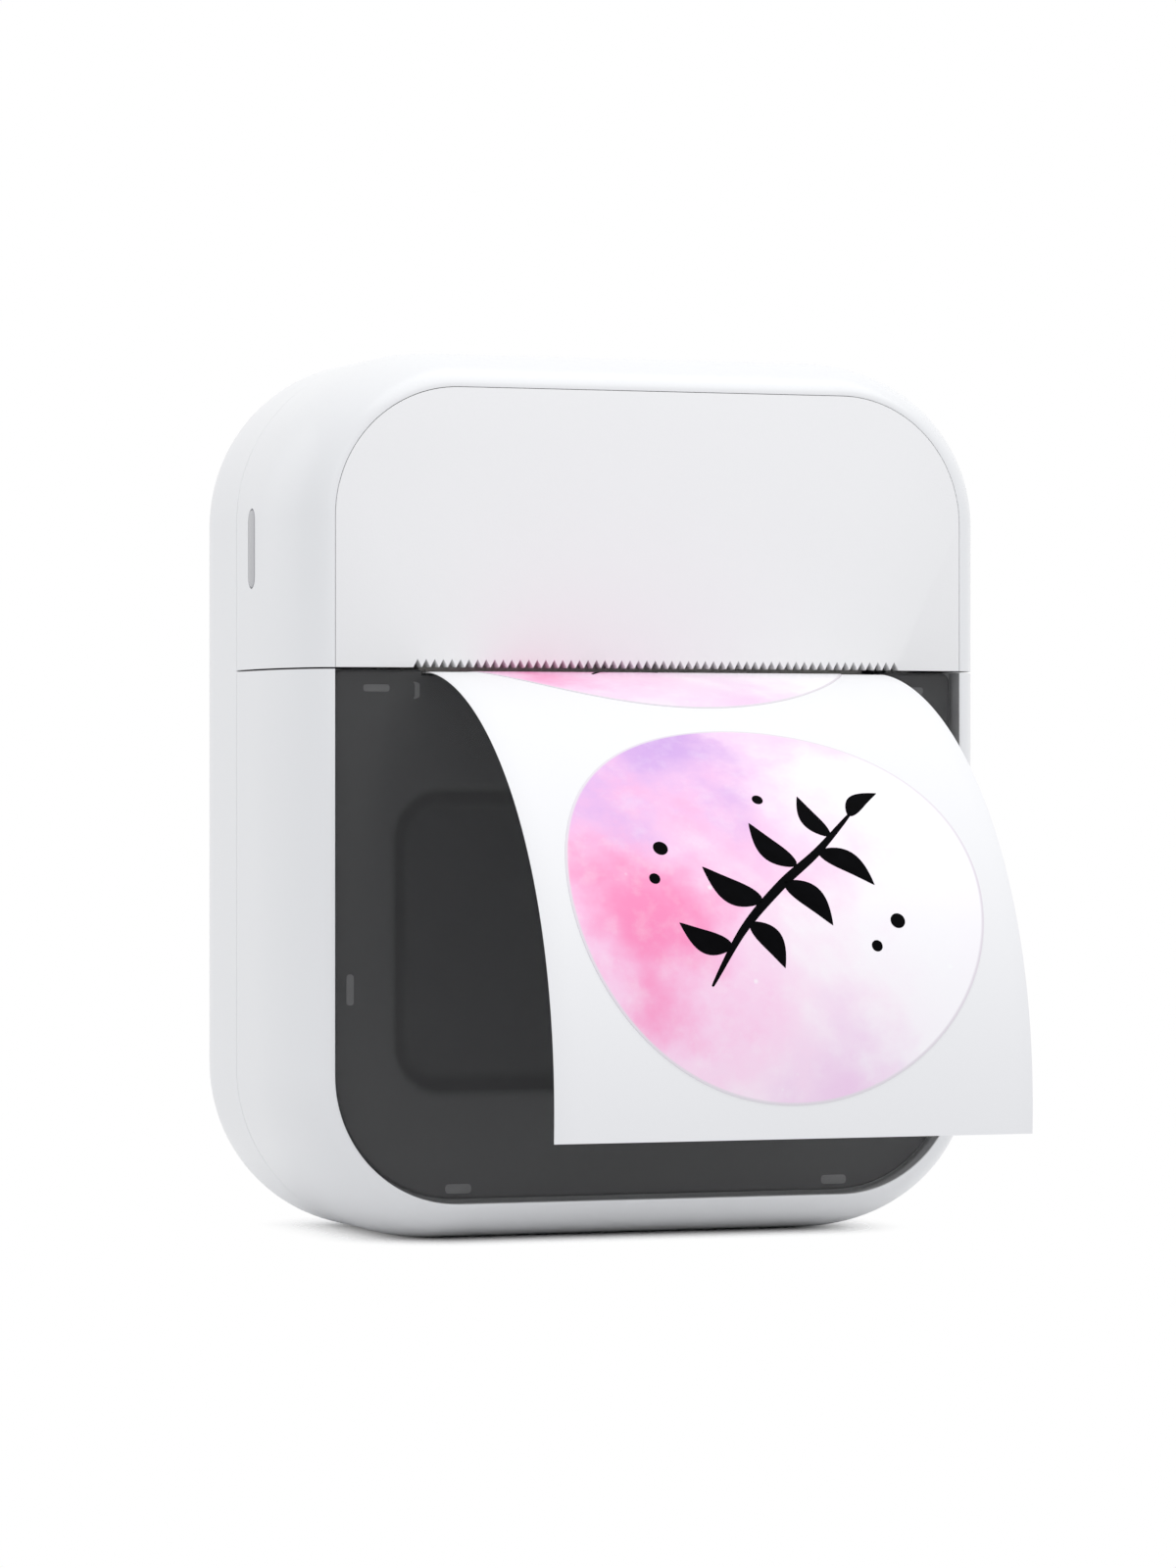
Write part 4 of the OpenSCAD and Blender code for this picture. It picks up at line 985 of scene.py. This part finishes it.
def make_posts():
    """Board posts on the back wall, and the pad that carries the battery behind the cover."""
    lo, hi = box_mm("board_screws")
    head = BOARD_SCREW_HEAD_R
    d0, d1 = box_mm("main_board")[1].y - FRONT_Y, BODY_D - WALL + 0.2
    rings = [(0.95, d0 + 0.6), (0.95, d0), (2.25, d0), (2.4, d0 + 0.15), (2.4, d1 - 0.7),
             (2.6, d1 - 0.35), (3.0, d1)]
    posts = [loft([[along_y(u, v, d) for u, v in circle(x, z, r)] for r, d in rings])
             for x in (lo.x + head, hi.x - head) for z in (lo.z + head, hi.z - head)]
    dress(add_piece("board_posts", *merged(posts), "housing", "white_shell"), WHITE)
    lo, hi = box_mm("battery")
    inset = 5.5
    outline = rounded_box(0, (lo.z + hi.z)/2, hi.x - inset, (hi.z - lo.z)/2 - inset, 1.5, 8)
    pad = prism(outline, LINER_D + 1.1, lo.y - FRONT_Y, along_y)
    dress(add_piece("battery_pad", *pad, "housing", "white_shell"), WHITE)


def tube(name, points, radius, body, slot, sides=10):
    """A round wire along points in millimetres, with closed ends."""
    pts = [Vector(p) for p in points]
    angles = [2*math.pi*k/sides for k in range(sides)]
    loops = []
    side = Vector((0, 0, 1))
    for i, p in enumerate(pts):
        t = (pts[min(i + 1, len(pts) - 1)] - pts[max(i - 1, 0)]).normalized()
        side = (side - t*side.dot(t)).normalized()
        other = t.cross(side)
        loops.append([p + radius*(math.cos(a)*side + math.sin(a)*other) for a in angles])
    return add_piece(name, *loft(loops), body, slot)


def make_springs():
    """The print head's two coil springs, built at one fixed length; the real ones shorten as the
    head lifts.
    """
    lo, hi = box_mm("head_springs")
    r_out, wire, turns, steps = (hi.y - lo.y)/2, 0.25, 5.5, 240
    r, mid_y = r_out - wire, (lo.y + hi.y)/2
    for name, x in (("spring_left", lo.x + r_out), ("spring_right", hi.x - r_out)):
        points = []
        for i in range(steps + 1):
            u = i/steps
            # The end turns close up flat against the heat sink and the bracket.
            rise = min(1.0, max(0.0, (u - 0.12)/0.76))
            a = 2*math.pi*turns*u
            z = lo.z + wire + (hi.z - lo.z - 2*wire)*rise
            points.append((x + r*math.cos(a), mid_y + r*math.sin(a), z))
        coil = tube(name, points, wire, "housing", "steel")
        if name == "spring_left":
            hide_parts("head_springs")
        dress(coil, STEEL)
        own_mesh(coil)


def make_usb_tongue():
    """The contact tongue inside the charging socket."""
    lo, hi = box_mm("usb_socket")
    mid_d, mid_z = (lo.y + hi.y)/2 - FRONT_Y, (lo.z + hi.z)/2
    x0, x1 = lo.x + 0.9, hi.x - 0.9
    outline = pill(mid_d, mid_z, 0.7, hi.z - lo.z - 2.6, 6)
    body = add_piece("usb_tongue", *prism(outline, x0, x1, along_x), "housing", "chip_black")
    dress(soften(body, 0.08), CHIP)
    contacts = []
    for side in (-1, 1):
        for i in range(6):
            z, d = mid_z - 2.0 + 0.8*i, mid_d + side*0.36
            outline = [(d + u, z + v) for u, v in
                       ((-0.03, -0.14), (0.03, -0.14), (0.03, 0.14), (-0.03, 0.14))]
            contacts.append(prism(outline, x0 + 1.5, x1 - 0.3, along_x))
    dress(add_piece("usb_contacts", *merged(contacts), "housing", "brass"), BRASS)


make_rear_shell()
make_posts()
make_springs()
make_usb_tongue()
make_upper_frame()
make_panels()
make_door_frame()
make_liner()
make_tabs()
make_button()

# ---------------------------------------------------------------- paper strip and labels


def bezier(u):
    a = Vector((0, PAPER_Z))
    b = Vector((REACH*0.471, PAPER_Z - 1.7))
    c = Vector((REACH*1.041, PAPER_Z*0.694))
    d = Vector((REACH, STRIP_END_Z))
    v = 1 - u
    return v*v*v*a + 3*v*v*u*b + 3*v*u*u*c + u*u*u*d


class Strip:
    """The strip's centre line as forward reach and height, and points off it by arc length."""

    def __init__(self, steps=160):
        self.line = [Vector((-PLATEN_D, PAPER_Z))]
        self.line += [Vector((-PLATEN_D*(1 - i/8), PAPER_Z)) for i in range(1, 8)]
        self.line += [bezier(i/steps) for i in range(steps + 1)]
        self.s = [0.0]
        for a, b in zip(self.line, self.line[1:]):
            self.s.append(self.s[-1] + (b - a).length)
        self.s = [s - PLATEN_D for s in self.s]

    def at(self, s, h):
        """The point at arc length s from the slot, h above the centre line."""
        s = min(max(s, self.s[0]), self.s[-1])
        i = 0
        while i < len(self.s) - 2 and self.s[i + 1] < s:
            i += 1
        k = (s - self.s[i])/(self.s[i + 1] - self.s[i])
        p = self.line[i].lerp(self.line[i + 1], k)
        before = self.line[max(i - 1, 0)]
        after = self.line[min(i + 2, len(self.line) - 1)]
        t = (after - before).normalized()
        return p + h*Vector((-t.y, t.x))

    def point(self, x, s, h):
        p = self.at(s, h)
        return (PAPER_X + x, FRONT_Y - p.x, p.y)


strip = Strip()
STRIP_LENGTH = strip.s[-1] - strip.s[0]


def make_strip():
    """The label stock: one thin sheet with a softly worn edge, falling out of the slot."""
    rows, cols, edge, worn = 150, 20, 0.05, 0.03
    half = STRIP_HALF
    across = [-half, -half + edge] + [half*(2*i/cols - 1) for i in range(1, cols)]
    across += [half - edge, half]
    upper = [(x, STOCK_T/2 - (worn if abs(x) == half else 0)) for x in across]
    section = upper + [(x, -h) for x, h in upper[::-1]]
    loops = [[strip.point(x, strip.s[0] + STRIP_LENGTH*i/rows, h) for x, h in section]
             for i in range(rows + 1)]
    obj = add_piece("label_stock", *loft(loops), "door", "paper", ("label_strip",), 50.0)
    return dress(obj, PAPER)


def make_label(name, node, s_mid, s_min):
    """A round die-cut label lying on the stock, with map coordinates for its print."""
    rows, cols = 72, 56
    base, lid = STOCK_T/2, STOCK_T/2 + LABEL_T
    # A label that runs into the machine starts at s_min, part of the way round its circle.
    a0 = math.acos(max(-1.0, (s_mid - s_min)/LABEL_R)) if s_min > s_mid - LABEL_R else 0.0
    verts, uvs, faces = [], [], []

    def row(i, h, shrink):
        a = a0 + (math.pi - a0)*i/rows
        s = s_mid - (LABEL_R - shrink)*math.cos(a)
        w = (LABEL_R - shrink)*math.sin(a) + 0.01
        return [(w*(2*k/cols - 1), s, h) for k in range(cols + 1)]

    for height, shrink in ((lid, 0.03), (base, 0.0)):
        for i in range(rows + 1):
            for x, s, h in row(i, height, shrink):
                verts.append(strip.point(x, s, h))
                uvs.append((x/LABEL_R, -(s - s_mid)/LABEL_R))
    n = cols + 1
    under = (rows + 1)*n
    for i in range(rows):
        for k in range(cols):
            a = i*n + k
            faces.append((a, a + 1, a + n + 1, a + n))
            faces.append((under + a, under + a + n, under + a + n + 1, under + a + 1))
        for k in (0, cols):
            a = i*n + k
            faces.append((a, a + n, under + a + n, under + a))
    for i in (0, rows):
        for k in range(cols):
            a = i*n + k
            faces.append((a, a + 1, under + a + 1, under + a))
    obj = new_object(name, verts, faces)
    layer = obj.data.uv_layers.new(name="art")
    for loop in obj.data.loops:
        layer.data[loop.index].uv = uvs[loop.vertex_index]
    shade(obj.data, 50.0)
    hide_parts(node)
    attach(obj, "door")
    dress(obj, ART)


def brush(points, width, steps=26):
    """A stroke through points in label units: swelling in the middle, thin at the ends."""
    pts = [Vector(p) for p in points]

    def spline(u):
        k = min(int(u*(len(pts) - 1)), len(pts) - 2)
        f = u*(len(pts) - 1) - k
        p0, p1, p2, p3 = (pts[max(0, min(len(pts) - 1, k + j))] for j in (-1, 0, 1, 2))
        return 0.5*((2*p1) + (p2 - p0)*f + (2*p0 - 5*p1 + 4*p2 - p3)*f*f
                    + (3*p1 - p0 - 3*p2 + p3)*f**3)

    left, right = [], []
    for i in range(steps + 1):
        u = i/steps
        p = spline(u)
        t = (spline(min(1, u + 0.01)) - spline(max(0, u - 0.01))).normalized()
        w = width*(0.22 + 0.78*math.sin(math.pi*u)**0.8)/2
        left.append(p + w*Vector((-t.y, t.x)))
        right.append(p - w*Vector((-t.y, t.x)))
    return left, right


def leaf(base, tip, fat):
    """A brushed leaf between two points, fattest a third of the way along."""
    a, b = Vector(base), Vector(tip)
    axis = b - a
    side = Vector((-axis.y, axis.x))
    left, right = [], []
    for i in range(19):
        u = i/18
        w = fat*(math.sin(math.pi*u**0.75)**0.9)/2 + 0.002
        bend = side*0.12*math.sin(math.pi*u)
        left.append(a + axis*u + bend + side*w)
        right.append(a + axis*u + bend - side*w)
    return left, right


SPRIG_STEM = [(-0.38, -0.46), (-0.20, -0.20), (0.02, 0.02), (0.24, 0.20), (0.46, 0.42)]
SPRIG_LEAVES = [
    ((-0.26, -0.28), (-0.50, -0.16), 0.42), ((-0.16, -0.16), (-0.02, -0.38), 0.42),
    ((-0.08, -0.06), (-0.34, 0.12), 0.40), ((0.04, 0.04), (0.24, -0.18), 0.40),
    ((0.12, 0.12), (-0.06, 0.36), 0.38), ((0.24, 0.20), (0.48, 0.02), 0.38),
    ((0.32, 0.28), (0.22, 0.52), 0.36), ((0.44, 0.40), (0.62, 0.54), 0.36),
]
SPRIG_BERRIES = [((-0.52, 0.22), 0.035), ((-0.58, 0.06), 0.026), ((0.56, -0.16), 0.035),
                 ((0.44, -0.28), 0.026), ((0.02, 0.50), 0.026)]


def make_print(name, s_mid, s_min):
    """The printed sprig as thin ink shapes on a label, from s_min on."""
    lift, across, solids = STOCK_T/2 + LABEL_T, 7, []

    def put(p, h):
        return strip.point(p.x*LABEL_R, s_mid - p.y*LABEL_R, h)

    def ribbon(left, right):
        loops = []
        for a, b in zip(left, right):
            if s_mid - max(a.y, b.y)*LABEL_R > s_min:
                row = [a.lerp(b, k/(across - 1)) for k in range(across)]
                loops.append([put(p, lift + INK_LIFT) for p in row]
                             + [put(p, lift - INK_SINK) for p in row[::-1]])
        if len(loops) > 1:
            solids.append(loft(loops))

    ribbon(*brush(SPRIG_STEM, 0.045, 60))
    for base, tip, fat in SPRIG_LEAVES:
        ribbon(*leaf(base, tip, fat))
    for (x, y), r in SPRIG_BERRIES:
        top, low = [], []
        for i in range(17):
            u = r*math.cos(math.pi*i/16)
            v = math.sqrt(max(0, r*r - u*u)) + 0.001
            top.append(Vector((x + u, y + v)))
            low.append(Vector((x + u, y - v)))
        ribbon(top, low)
    dress(add_piece(name, *merged(solids), "door", "label_paper", (), 60.0), INK)


stock = make_strip()
make_label("round_label", "label_front", LABEL_AT, -math.inf)
make_print("label_print", LABEL_AT, 0.0)
make_label("round_label_next", "label_next", NEXT_AT, NEXT_FROM)
make_print("label_print_next", NEXT_AT, NEXT_FROM)

# ---------------------------------------------------------------- inner parts

for entry in frame["record"]["subparts"]:
    node = frame["nodes"][entry["node"]]
    mat = ROLL if entry["node"] == "paper_roll" else SLOT_MATERIAL[entry["material_slot"]]
    if not node.material_slots:
        node.data.materials.append(mat)
    for spot in node.material_slots:
        spot.material = mat
